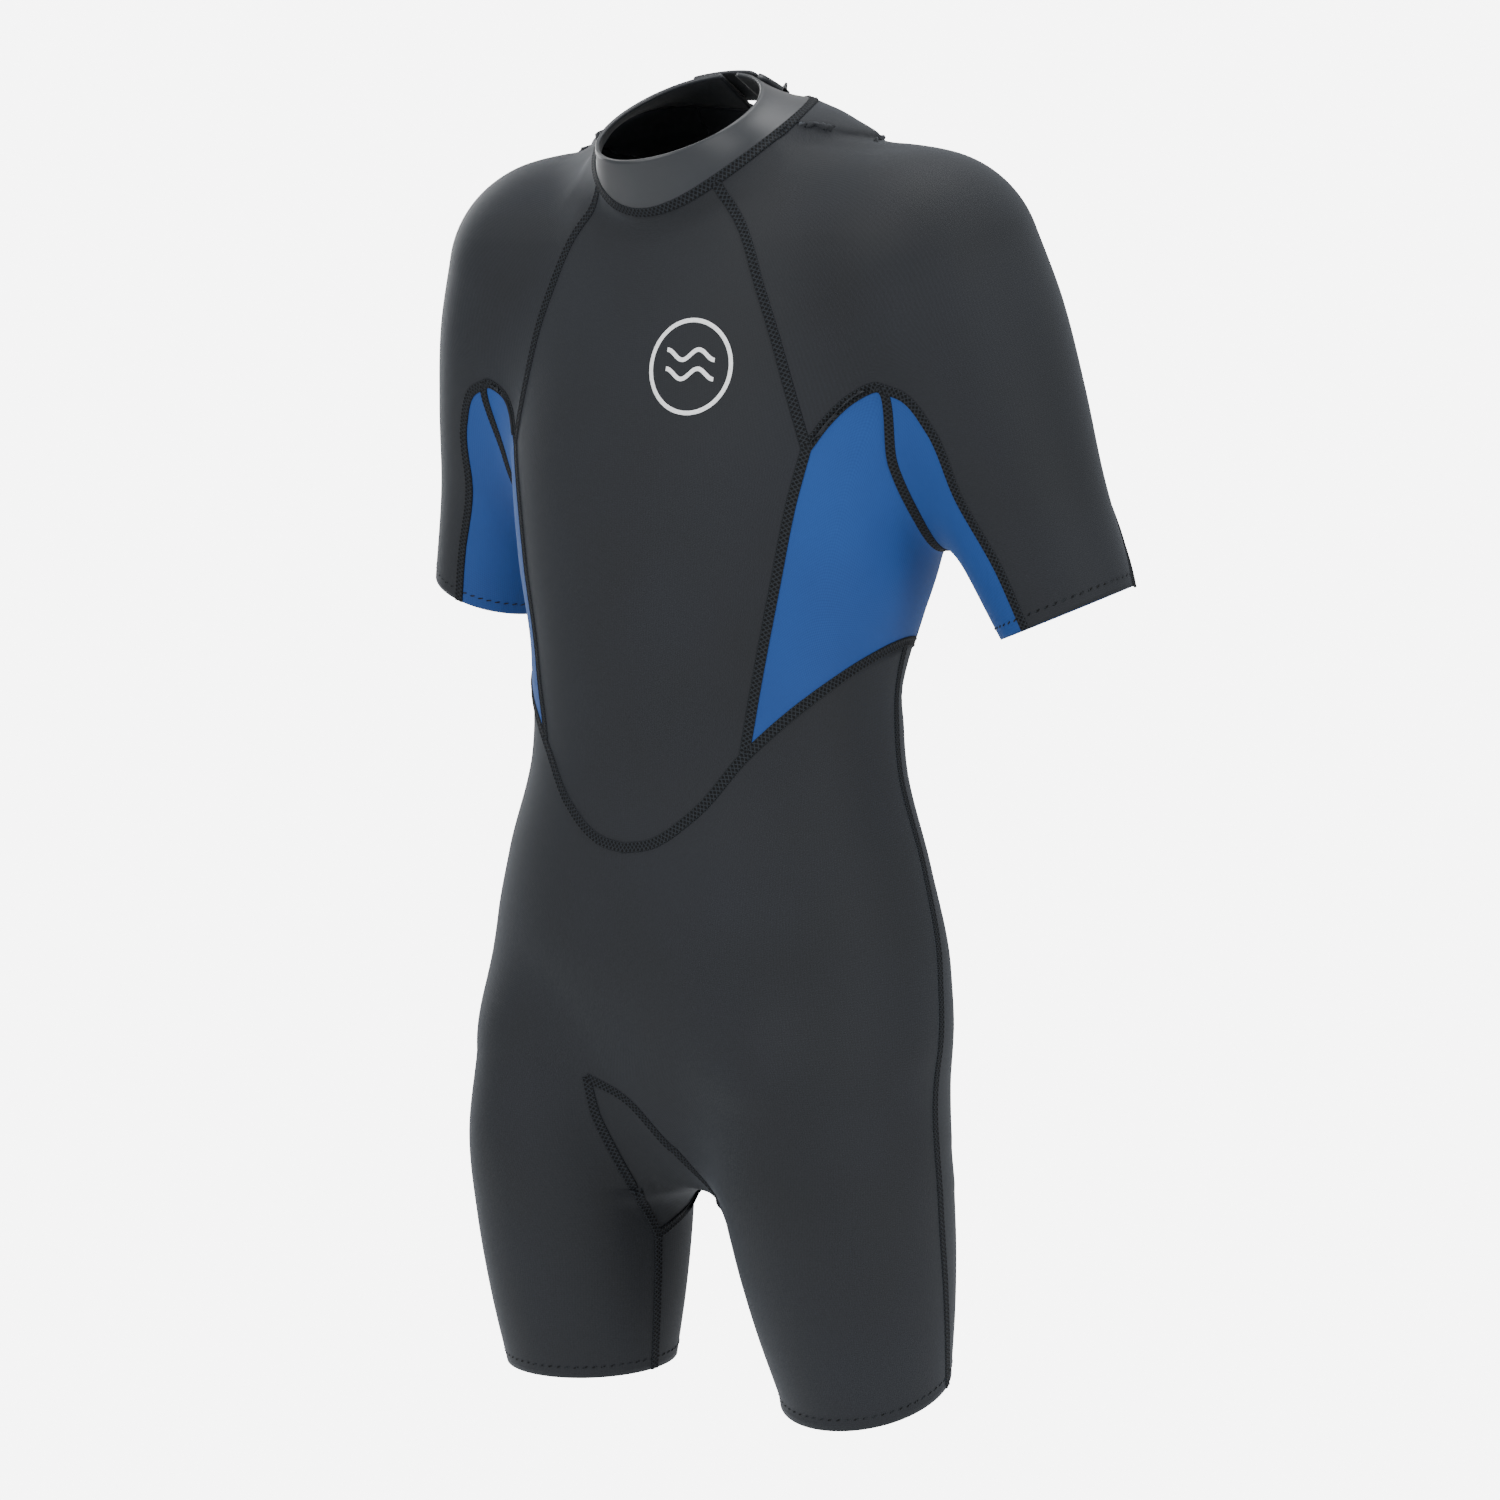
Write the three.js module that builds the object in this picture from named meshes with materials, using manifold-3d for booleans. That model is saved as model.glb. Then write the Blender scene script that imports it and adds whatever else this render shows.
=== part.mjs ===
// A short-sleeved, short-legged wetsuit with a zip down its back, held open as on a wearer.
// Millimetres, +Z up. The chest faces -Y and the wearer's left is +X. Height 0 is the leg hems.
//
// The suit is one stretched skin. It is lofted as a trunk, two sleeves, two legs and a neck, then cut into
// its panels along the flatlock seams, and each seam is a strip of its own in the cut.
import * as THREE from 'three';
import { LoftGeometry } from 'three/addons/geometries/LoftGeometry.js';
import { mergeVertices } from 'three/addons/utils/BufferGeometryUtils.js';
import Module from 'manifold-3d';

const wasm = await Module();
wasm.setup();

// ---------------------------------------------------------------- driving dimensions

const chestHalf = 173; // half the width of the chest
const waistHalf = 141;
const hipHalf = 176;
const chestFront = 101; // how far the chest stands in front of the neck's axis
const crotchHeight = 130; // above the leg hems
const shoulderHeight = 652; // shoulder point, above the crotch
const sleeveLength = 253; // shoulder point to sleeve hem
const sleeveSpread = 90; // how far the sleeve hem stands out from the shoulder point
const sleeveSwing = 39; // and how far behind it
const hemDepth = 16; // turned-up band inside each opening
const collarHalf = 57; // inside the top of the collar

const wall = 2.6; // foam laminated with jersey on both sides
const gap = 0.3; // clearance between neighbours that touch in the suit
const seamWidth = 7;
const seamProud = 0.6; // how far a flatlock seam stands above its panels

const zipRadius = 389; // the zip lies on an arc down the spine
const zipCentre = new THREE.Vector2(-258, crotchHeight + 528); // its Y and its height
const zipBottom = crotchHeight + 370;
const zipTop = crotchHeight + 752;
const zipSlot = 16; // between the two back panels
const tapeWidth = 15;
const tapeThick = 0.7;
const chainHalf = 3.3; // half the width of the closed teeth
const chainProud = 1.4; // teeth above the outside of the panels
const stopLength = 4;
const flapHalf = 33; // guard behind the zip
const flapThick = 2;
const sliderLength = 20;
const sliderHalf = 7;
const plateThick = 1.5;
const pullLength = 34;
const pullWidth = 9;
const pullThick = 1.6;
const bridgeWidth = 2.4; // the slider's bridge, which the pull hangs under
const bridgeThick = 1.4;
const flangeThick = 1.8; // the slider's sides

const patchThick = 0.9; // hook and loop under the collar tab
const tabThick = 2;
const tabHalf = 31;

const badgeRadius = 33;
const badgeLine = 3.4;
const printThick = 0.5;

const colours = {
  black: 0x35393f,
  blue: 0x1f5fa8,
  smooth: 0x3c4248,
  seam: 0x24282d,
  tape: 0x17191c,
  metal: 0x8f959b,
  white: 0xe8eaec,
  patch: 0x1c1e21,
};

// ---------------------------------------------------------------- the wearer's form

// Half width, front and back of the trunk at heights above the crotch.
const trunkRows = [
  [0, hipHalf - 114, -34, 50],
  [20, hipHalf - 72, -50, 78],
  [50, hipHalf - 34, -68, 100],
  [100, hipHalf - 6, -92, 114],
  [170, hipHalf, -111, 114],
  [240, hipHalf - 14, -109, 103],
  [310, waistHalf, -101, 95],
  [380, waistHalf + 1, -chestFront - 3, 102],
  [450, chestHalf - 13, -chestFront - 3, 123],
  [520, chestHalf - 3, -chestFront, 131],
  [580, chestHalf, 7 - chestFront, 128],
  [630, chestHalf + 4, 16 - chestFront, 118],
  [665, chestHalf + 2, 22 - chestFront, 107],
];
// Half sizes of a sleeve, outwards and front to back, at distances past the shoulder point.
const sleeveRows = [
  [-88, 22, 24],
  [-76, 46, 50],
  [-48, 66, 72],
  [0, 76, 83],
  [53, 74, 82],
  [116, 66, 72],
  [179, 56, 59],
  [sleeveLength, 49, 51],
  [sleeveLength + 30, 48, 50],
];
// Half sizes of a leg at heights above the hem.
const legRows = [
  [-35, 60, 61],
  [0, 61, 62],
  [50, 69, 73],
  [crotchHeight - 20, 76, 85],
  [crotchHeight + 40, 76, 88],
  [crotchHeight + 100, 69, 80],
  [crotchHeight + 145, 52, 58],
  [crotchHeight + 170, 26, 28],
];
const shoulder = new THREE.Vector3(chestHalf - 11, 21, crotchHeight + shoulderHeight);
const legTop = new THREE.Vector3(hipHalf - 67, -23, crotchHeight + 100);
// The wearer stands with the left leg a little back. Each leg's hem leans by its own angle.
const legHems = {
  left: { side: 1, x: 107, y: 30, lean: 17 },
  right: { side: -1, x: 105, y: -15, lean: 2.5 },
};
// Above the shoulders the sections lean with the neck and ride up at the sides: the middle of each, its half
// width and depth, its lean, and the rise of its sides. The collar is sewn on at the fourth.
const shoulderRing = { y: 14, z: crotchHeight + 665, half: chestHalf + 2, depth: 93, lean: 0, rise: 0 };
const neckRings = [
  shoulderRing,
  { y: 3.5, z: crotchHeight + 690, half: chestHalf - 21, depth: 84.5, lean: 10.7, rise: 42 },
  { y: -6, z: crotchHeight + 709, half: chestHalf - 57, depth: 77, lean: 19.4, rise: 38 },
  { y: -17, z: crotchHeight + 726, half: collarHalf + 23, depth: 68, lean: 29.5, rise: 26 },
  { y: -45, z: crotchHeight + 754, half: collarHalf, depth: collarHalf, lean: 29.5, rise: 0 },
  { y: -67, z: crotchHeight + 778, half: collarHalf - 12, depth: collarHalf - 10, lean: 29.5, rise: 0 },
];
const collarRun = 3; // the ring that the collar seam follows
const rimRun = 4; // and the one at the collar's top
const collarRim = neckRings[rimRun];
const collarLean = THREE.MathUtils.degToRad(collarRim.lean);
const squareness = 2.3; // of the trunk's sections: 2 is an ellipse

const radians = THREE.MathUtils.degToRad;

/** Smooth value of one column of a table of rows at the place t of its first column. */
function valueAt(rows, column, t) {
  const last = rows.length - 2;
  const i = Math.max(0, Math.min(last, rows.findIndex((row) => row[0] > t) - 1));
  const k = t >= rows[last + 1][0] ? last : i;
  const slope = (a, b) => (rows[b][column] - rows[a][column]) / (rows[b][0] - rows[a][0]);
  const span = rows[k + 1][0] - rows[k][0];
  const u = THREE.MathUtils.clamp((t - rows[k][0]) / span, 0, 1);
  const m0 = slope(Math.max(k - 1, 0), k + 1) * span;
  const m1 = slope(k, Math.min(k + 2, last + 1)) * span;
  const [p0, p1] = [rows[k][column], rows[k + 1][column]];
  return p0 * (2 * u ** 3 - 3 * u * u + 1) + p1 * (3 * u * u - 2 * u ** 3)
    + m0 * (u ** 3 - 2 * u * u + u) + m1 * (u ** 3 - u * u);
}

/** Where the zip's arc stands behind the axis at a height. */
function spineAt(height) {
  return zipCentre.x + Math.sqrt(zipRadius ** 2 - (height - zipCentre.y) ** 2);
}

/** How far the trunk's skin stands from the middle of its section, and where that middle is. */
function trunkReach(height, turn, offset) {
  const above = height - crotchHeight;
  const half = valueAt(trunkRows, 1, above) + offset;
  const front = valueAt(trunkRows, 2, above) - offset;
  const back = (height > zipBottom - 5 ? spineAt(height) : valueAt(trunkRows, 3, above)) + offset;
  const depth = (back - front) / 2;
  const across = Math.abs(Math.sin(radians(turn)) / half) ** squareness;
  const deep = Math.abs(Math.cos(radians(turn)) / depth) ** squareness;
  return { reach: (across + deep) ** (-1 / squareness), middle: (front + back) / 2 };
}

/** A place on one of the surfaces, with the way that the skin faces there. */
function placeOn(surface, run, turn, offset, step) {
  const point = surface(run, turn, offset);
  const along = surface(run + step, turn, offset).sub(surface(run - step, turn, offset));
  const round = surface(run, turn + 2, offset).sub(surface(run, turn - 2, offset));
  return { point, out: round.cross(along).normalize() };
}

/** The trunk below the shoulders: turn is in degrees, 0 at the front, 90 at the wearer's left. */
function trunkPoint(height, turn, offset) {
  const { reach, middle } = trunkReach(height, turn, offset);
  return new THREE.Vector3(reach * Math.sin(radians(turn)), middle - reach * Math.cos(radians(turn)), height);
}

const onTrunk = (height, turn, offset = 0) => placeOn(trunkPoint, height, turn, offset, 4);

/** The ring of the shoulders and neck at a run: whole runs are the rings of the list. */
function ringAt(run) {
  const k = THREE.MathUtils.clamp(Math.floor(run), 0, neckRings.length - 2);
  const at = (key) => THREE.MathUtils.lerp(neckRings[k][key], neckRings[k + 1][key], run - k);
  const slant = THREE.MathUtils.lerp(
    Math.tan(radians(neckRings[k].lean)), Math.tan(radians(neckRings[k + 1].lean)), run - k);
  return { y: at('y'), z: at('z'), half: at('half'), depth: at('depth'), rise: at('rise'), slant };
}

function neckPoint(run, turn, offset) {
  const ring = ringAt(run);
  const [sin, cos] = [Math.sin(radians(turn)), Math.cos(radians(turn))];
  const square = THREE.MathUtils.clamp(squareness - 0.1 * run, 2, squareness);
  const across = Math.abs(sin / (ring.half + offset)) ** square;
  const reach = (across + Math.abs(cos / (ring.depth + offset)) ** square) ** (-1 / square);
  const height = ring.z - reach * cos * ring.slant + ring.rise * sin * sin;
  return new THREE.Vector3(reach * sin, ring.y - reach * cos, height);
}

/** A place on the shoulders and neck. */
const onNeck = (run, turn, offset = 0) => placeOn(neckPoint, run, turn, offset, 0.05);

/** The sleeve's axis, with its outward and forward directions. */
function sleeveFrame(side) {
  const down = Math.sqrt(sleeveLength ** 2 - sleeveSpread ** 2 - sleeveSwing ** 2);
  const along = new THREE.Vector3(side * sleeveSpread, sleeveSwing, -down).normalize();
  const outward = new THREE.Vector3(-along.z * side, 0, along.x * side).normalize();
  const forward = new THREE.Vector3().crossVectors(outward, along).multiplyScalar(-side);
  const start = shoulder.clone().multiply(new THREE.Vector3(side, 1, 1));
  return { along, outward, forward, start };
}

/** A place on a sleeve: turn is 0 at its front, 90 outside, 180 behind and 270 against the body. */
function onSleeve(side, distance, turn, offset = 0) {
  const { along, outward, forward, start } = sleeveFrame(side);
  const out = outward.clone().multiplyScalar(Math.sin(radians(turn)));
  out.addScaledVector(forward, Math.cos(radians(turn)));
  const point = start.clone().addScaledVector(along, distance);
  point.addScaledVector(outward, (valueAt(sleeveRows, 1, distance) + offset) * Math.sin(radians(turn)));
  point.addScaledVector(forward, (valueAt(sleeveRows, 2, distance) + offset) * Math.cos(radians(turn)));
  return { point, out };
}

/** A place on a leg at a height: turn is 0 at its front, 90 outside, 180 behind and 270 between the legs. */
function onLeg(hem, height, turn, offset = 0) {
  const share = height / legTop.z;
  const x = THREE.MathUtils.lerp(hem.x, legTop.x, share) * hem.side;
  const y = THREE.MathUtils.lerp(hem.y, legTop.y, share);
  const out = new THREE.Vector3(Math.sin(radians(turn)) * hem.side, -Math.cos(radians(turn)), 0);
  const point = new THREE.Vector3(x, y, height);
  point.x += out.x * (valueAt(legRows, 1, height) + offset);
  point.y += out.y * (valueAt(legRows, 2, height) + offset);
  return { point, out };
}

/** Whether a point lies inside the form's trunk, a sleeve, a leg or the neck. */
function insideForm(point) {
  return insideTrunk(point) || insideNeck(point)
    || [1, -1].some((side) => insideSleeve(side, point))
    || Object.values(legHems).some((hem) => insideLeg(hem, point));
}

function insideTrunk({ x, y, z }) {
  if (z < crotchHeight || z > shoulderRing.z) return false;
  const { middle } = trunkReach(z, 0, 0);
  const turn = THREE.MathUtils.radToDeg(Math.atan2(x, middle - y));
  return Math.hypot(x, y - middle) < trunkReach(z, turn, 0).reach;
}

function insideSleeve(side, point) {
  const { along, outward, forward, start } = sleeveFrame(side);
  const from = point.clone().sub(start);
  const distance = from.dot(along);
  if (distance < sleeveRows[0][0] || distance > sleeveLength + 30) return false;
  const across = from.dot(outward) / valueAt(sleeveRows, 1, distance);
  const deep = from.dot(forward) / valueAt(sleeveRows, 2, distance);
  return Math.hypot(across, deep) < 1;
}

function insideLeg(hem, { x, y, z }) {
  if (z < legRows[0][0] || z > legRows[legRows.length - 1][0]) return false;
  const share = z / legTop.z;
  const across = (x - THREE.MathUtils.lerp(hem.x, legTop.x, share) * hem.side) / valueAt(legRows, 1, z);
  const deep = (y - THREE.MathUtils.lerp(hem.y, legTop.y, share)) / valueAt(legRows, 2, z);
  return Math.hypot(across, deep) < 1;
}

function insideNeck({ x, y, z }) {
  let [low, high] = [0, neckRings.length - 1];
  const edgeAt = (run) => {
    const turn = THREE.MathUtils.radToDeg(Math.atan2(x, ringAt(run).y - y));
    return neckPoint(run, turn, 0);
  };
  const { y: middle, z: floor } = ringAt(0);
  if (z < floor) return false;
  while (high - low > 0.01) {
    const run = (low + high) / 2;
    const ring = ringAt(run);
    const sin = x / Math.max(Math.hypot(x, y - ring.y), 1);
    if (ring.z + (y - ring.y) * ring.slant + ring.rise * sin * sin < z) low = run;
    else high = run;
  }
  const edge = edgeAt(low);
  return Math.hypot(x, y - ringAt(low).y) < Math.hypot(edge.x, edge.y - ringAt(low).y) && middle !== undefined;
}

/** A place moved in or out along its own direction, onto the skin of the form. */
function onSkin(place) {
  const startsInside = insideForm(place.point);
  const way = startsInside ? 0.5 : -0.5;
  const point = place.point.clone();
  for (let tries = 0; tries < 60; tries += 1) {
    if (insideForm(point) !== startsInside) return { point, out: place.out };
    point.addScaledVector(place.out, way);
  }
  return place;
}

/** A place in the crease where the underside of a sleeve meets the trunk, at a turn about the sleeve. */
function onCrease(side, turn) {
  let [near, far] = [-20, sleeveLength];
  while (far - near > 0.1) {
    const middle = (near + far) / 2;
    if (insideTrunk(onSleeve(side, middle, turn).point)) near = middle;
    else far = middle;
  }
  const { point, out } = onSleeve(side, far, turn);
  const trunkOut = new THREE.Vector3(point.x, point.y - 15, 0).normalize();
  return { point, out: out.clone().add(trunkOut).normalize() };
}

// ---------------------------------------------------------------- solids

/** A closed three.js geometry as a manifold solid. */
function solid(geometry) {
  const plain = geometry.index ? geometry.toNonIndexed() : geometry.clone();
  const bare = new THREE.BufferGeometry().setAttribute('position', plain.getAttribute('position'));
  const merged = mergeVertices(bare, 1e-4);
  return new wasm.Manifold(new wasm.Mesh({
    numProp: 3,
    vertProperties: merged.getAttribute('position').array,
    triVerts: new Uint32Array(merged.index.array),
  }));
}

/** Twice the area of a section as a vector, along the axis that its points turn about. */
function turning(section) {
  const next = (i) => section[(i + 1) % section.length];
  return section.reduce((sum, point, i) => sum.add(point.clone().cross(next(i))), new THREE.Vector3());
}

/** A solid through closed sections, whichever way round they were listed. */
function lofted(sections) {
  const middle = (section) => section.reduce((a, b) => a.clone().add(b)).divideScalar(section.length);
  const ahead = middle(sections[1]).sub(middle(sections[0]));
  const turned = turning(sections[0]).dot(ahead) < 0 ? sections.map((each) => [...each].reverse()) : sections;
  return solid(new LoftGeometry(turned, { capStart: true, capEnd: true }));
}

/** Points of one section: place(turn) at even turns. */
function section(sides, place) {
  return Array.from({ length: sides }, (_, i) => place((360 * i) / sides).point);
}

/** Even steps from a to b, no longer than about the length step. */
function steps(a, b, step) {
  const count = Math.ceil(Math.abs(b - a) / step);
  return Array.from({ length: count + 1 }, (_, i) => a + ((b - a) * i) / count);
}

const facet = 66; // length of the skin's facets
const trunkSides = 18;
const limbSides = 10;
const bandStep = 76; // and of a seam's
const bandLap = 0.6; // its pieces run past each other by this share of their width
const bandOut = 9; // it stands this far out of the skin
const bandIn = 16; // and this far into it, which is through the deepest crease
const arcStep = 55; // and of the zip's

/** The trunk, the shoulders and the neck, as one loft. */
function trunkSolid(offset) {
  const heights = steps(crotchHeight - offset, shoulderRing.z, facet);
  const runs = [0.6, 1.3, 2, 2.6, 3.2, 4, 4.8];
  return lofted([
    ...heights.map((height) => section(trunkSides, (turn) => onTrunk(height, turn, offset))),
    ...runs.map((run) => section(trunkSides, (turn) => onNeck(run, turn, offset))),
  ]);
}

function sleeveSolid(side, offset) {
  const runs = [-88 - offset, -76, -50, -20, ...steps(10, sleeveLength + 30, facet)];
  return lofted(runs.map((run) => section(limbSides, (turn) => onSleeve(side, run, turn, offset))));
}

function legSolid(hem, offset) {
  const top = crotchHeight + 170 + offset;
  const heights = [...steps(-35, crotchHeight + 100, facet), top - 47, top - 22, top];
  return lofted(heights.map((height) => section(limbSides, (turn) => onLeg(hem, height, turn, offset))));
}

/** The half space on the side of a plane that its normal points away from. */
function behind(point, normal) {
  const size = 1400;
  const box = new THREE.BoxGeometry(size, size, size).translate(0, 0, -size / 2);
  const turn = new THREE.Quaternion().setFromUnitVectors(new THREE.Vector3(0, 0, 1), normal);
  return solid(box.applyQuaternion(turn).translate(point.x, point.y, point.z));
}

/** The body side of each leg hem's leaning plane, kept off the hem by inset. */
function aboveHem(hem, inset) {
  const lean = radians(hem.lean);
  const normal = new THREE.Vector3(0, Math.sin(lean), -Math.cos(lean));
  const centre = new THREE.Vector3(hem.x * hem.side, hem.y, 0).addScaledVector(normal, -inset);
  return behind(centre, normal);
}

function aboveCuff(side, inset) {
  const { along, start } = sleeveFrame(side);
  return behind(start.clone().addScaledVector(along, sleeveLength - inset), along);
}

function belowRim(inset) {
  const normal = new THREE.Vector3(0, -Math.sin(collarLean), Math.cos(collarLean));
  const centre = new THREE.Vector3(0, collarRim.y, collarRim.z).addScaledVector(normal, -inset);
  return behind(centre, normal);
}

/** The whole form, grown by offset, with its limbs cut off at the openings. */
function formSolid(offset) {
  let form = trunkSolid(offset).intersect(belowRim(0));
  for (const side of [1, -1]) form = form.add(sleeveSolid(side, offset).intersect(aboveCuff(side, 0)));
  for (const hem of Object.values(legHems)) form = form.add(legSolid(hem, offset).intersect(aboveHem(hem, 0)));
  return form;
}

/** What is hollow: the form without the wall, run out through every opening. */
function hollowSolid() {
  let hollow = trunkSolid(-wall);
  for (const side of [1, -1]) hollow = hollow.add(sleeveSolid(side, -wall));
  for (const hem of Object.values(legHems)) hollow = hollow.add(legSolid(hem, -wall));
  return hollow;
}

/** Points along a line of places, every place among them, each moved onto the skin. */
function traced(places) {
  const curve = new THREE.CatmullRomCurve3(places.map((place) => place.point));
  const outs = new THREE.CatmullRomCurve3(places.map((place) => place.out.clone().multiplyScalar(100)));
  const spans = places.length - 1;
  const shares = places.slice(1).flatMap((place, i) => {
    const count = Math.ceil(place.point.distanceTo(places[i].point) / bandStep);
    return Array.from({ length: count }, (_, j) => (i + (j + 1) / count) / spans);
  });
  return [0, ...shares].map((t) => onSkin({ point: curve.getPoint(t), out: outs.getPoint(t).normalize() }));
}

/** A wall that stands through the skin along a line of places, as wide as given. */
function band(places, width) {
  const line = traced(places);
  return line.slice(1).map((end, i) => {
    const along = end.point.clone().sub(line[i].point);
    const length = along.length() + bandLap * width;
    along.normalize();
    const up = end.out.clone().add(line[i].out);
    up.addScaledVector(along, -up.dot(along)).normalize();
    const middle = end.point.clone().lerp(line[i].point, 0.5);
    const axes = new THREE.Matrix4().makeBasis(along, new THREE.Vector3().crossVectors(up, along), up);
    const wallPiece = new THREE.BoxGeometry(length, width, bandOut + bandIn).translate(0, 0, (bandOut - bandIn) / 2);
    return solid(wallPiece.applyMatrix4(axes.setPosition(middle)));
  }).reduce((a, b) => a.add(b));
}

// ---------------------------------------------------------------- seams

const crotchZ = (above) => crotchHeight + above;
const blend = (a, b) => ({
  point: a.point.clone().lerp(b.point, 0.5),
  out: a.out.clone().add(b.out).normalize(),
});
const trunkLine = (side, pairs) => pairs.map(([above, turn]) => onTrunk(crotchZ(above), turn * side));

/** The collar seam on one side, from the middle of the front to the middle of the back. */
const collarLine = (side) => [-2, 22, 44, 91, 138, 160, 180].map((turn) => onNeck(collarRun, turn * side));

/** Front raglan seam: collar to the corner of the side panel. */
const raglanFront = (side) => [
  onNeck(collarRun, 44 * side), onNeck(0.4, 42 * side),
  ...trunkLine(side, [[590, 50.2], [530, 56]]),
];

/** Back raglan seam: collar to the rear corner of the side panel. */
const raglanBack = (side) => [
  onNeck(collarRun, 138 * side), onNeck(0.4, 142 * side),
  ...trunkLine(side, [[595, 132], [535, 125]]),
];

/** The seam round the armhole, from the front corner through the armpit to the rear corner. */
const armholeLine = (side) => [
  onTrunk(crotchZ(530), 56 * side),
  onTrunk(crotchZ(550), 61 * side),
  ...[328, 304, 280, 256, 232].map((turn) => onCrease(side, turn)),
  onTrunk(crotchZ(535), 125 * side),
];

/** Where the chest meets the side panel, down to the waist seam. */
const sideFront = (side) => trunkLine(side, [[530, 56], [440, 52.1], [386, 50.8], [326, 46.8]]);
const sideBack = (side) => trunkLine(side, [[535, 125], [462, 123], [392, 118]]);

/** The waist seam: low in front, high at the sides, and under the zip behind. */
const waistLine = (side) => trunkLine(side, [
  [256, 0], [260, 11], [290, 31.5], [324, 46.7], [352, 62.7], [381, 79.5], [396, 101],
  [392, 118], [370, 152], [357, 181],
]);

/** Sleeve seams between black and blue: the front one down the inside, the rear one round to the outside. */
const sleeveFront = (side) => [
  onCrease(side, 328), onSleeve(side, 112, 346), onSleeve(side, 150, 356),
  onSleeve(side, 205, 356), onSleeve(side, sleeveLength + 6, 358),
];
const sleeveRear = (side) => [
  onCrease(side, 232), onSleeve(side, 112, 205), onSleeve(side, 150, 165),
  onSleeve(side, 205, 138), onSleeve(side, sleeveLength + 6, 112),
];

/** Outer seam of a leg, from the waist seam down to the hem. */
const legOuter = (hem) => [
  ...trunkLine(hem.side, [[396, 101], [320, 101], [240, 100], [177, 97.3]]),
  onLeg(hem, crotchHeight + 100, 100), onLeg(hem, crotchHeight + 46, 104), onLeg(hem, 69, 101),
  onLeg(hem, 14, 107), onLeg(hem, -25, 109),
];
/** Inner seam of a leg, from the gusset down to the hem. */
const legInner = (hem) => [
  onLeg(hem, crotchHeight - 30, 277), onLeg(hem, 50, 276), onLeg(hem, 10, 273), onLeg(hem, -25, 272),
];

/** A place under the crotch, on one thigh's side, with the way that the skin faces there. */
const underCrotch = (hem, x, y, above, out) => ({
  point: new THREE.Vector3(x * hem.side, y, crotchZ(above)),
  out: new THREE.Vector3(out[0] * hem.side, out[1], out[2]).normalize(),
});

/** Half of the gusset's edge, over one thigh: front tip, the leg seam, rear tip. */
const gussetLine = (hem) => [
  onTrunk(crotchZ(96), -21),
  blend(onTrunk(crotchZ(66), -14 + 10 * hem.side), onLeg(hem, crotchHeight + 60, 318)),
  onLeg(hem, crotchHeight + 26, 304),
  onLeg(hem, crotchHeight - 30, 277),
  underCrotch(hem, 40, 34, -6, [-0.5, 0.3, -0.8]),
  underCrotch(hem, 32, 56, 4, [-0.2, 0.5, -0.8]),
  underCrotch(hem, 15, 80, 24, [0, 0.7, -0.7]),
  underCrotch(hem, -1, 104, 66, [0, 0.95, -0.3]),
];
const seatLine = [[357, 180], [295, 180], [230, 180], [150, 180], [66, 180]];

// ---------------------------------------------------------------- the object

const wetsuit = new THREE.Group();

function addPiece(name, made, colour, { roughness = 0.85, metalness = 0, parent = wetsuit } = {}) {
  const data = made.getMesh();
  const geometry = new THREE.BufferGeometry();
  geometry.setAttribute('position', new THREE.BufferAttribute(data.vertProperties, 3));
  geometry.setIndex(new THREE.BufferAttribute(data.triVerts, 1));
  geometry.computeVertexNormals();
  const mesh = new THREE.Mesh(geometry, new THREE.MeshStandardMaterial({ color: colour, roughness, metalness }));
  mesh.name = name;
  parent.add(mesh);
}

/** The largest separate body of a solid. */
const largest = (made) => made.decompose().sort((a, b) => b.volume() - a.volume())[0];

const hollow = hollowSolid();
const skin = formSolid(0).subtract(hollow);
const proudSkin = formSolid(seamProud).subtract(hollow);
const sideNames = [['left', 1], ['right', -1]];

/** Every flatlock seam by name, in sewing order: a later seam stops at the ones before it. */
function seamLines() {
  const lines = [['collar_seam', [collarLine(1), collarLine(-1)]], ['waist_seam', [waistLine(1), waistLine(-1)]]];
  for (const [word, side] of sideNames) {
    lines.push([`raglan_front_seam_${word}`, [raglanFront(side)]]);
    lines.push([`raglan_back_seam_${word}`, [raglanBack(side)]]);
    lines.push([`armhole_seam_${word}`, [armholeLine(side)]]);
    lines.push([`side_front_seam_${word}`, [sideFront(side)]]);
    lines.push([`side_back_seam_${word}`, [sideBack(side)]]);
    lines.push([`sleeve_front_seam_${word}`, [sleeveFront(side)]]);
    lines.push([`sleeve_rear_seam_${word}`, [sleeveRear(side)]]);
    lines.push([`gusset_seam_${word}`, [gussetLine(legHems[word])]]);
    lines.push([`leg_outer_seam_${word}`, [legOuter(legHems[word])]]);
    lines.push([`leg_inner_seam_${word}`, [legInner(legHems[word])]]);
  }
  lines.push(['seat_seam', [trunkLine(1, seatLine)]]);
  return lines;
}

function addSeams() {
  let cuts = zipRoom();
  for (const [name, lines] of seamLines()) {
    const strip = lines.map((line) => band(line, seamWidth)).reduce((a, b) => a.add(b));
    addPiece(name, largest(proudSkin.intersect(strip).subtract(cuts)), colours.seam);
    const cut = lines.map((line) => band(line, seamWidth + 2 * gap)).reduce((a, b) => a.add(b));
    cuts = cuts.add(cut);
  }
  return cuts;
}

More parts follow.
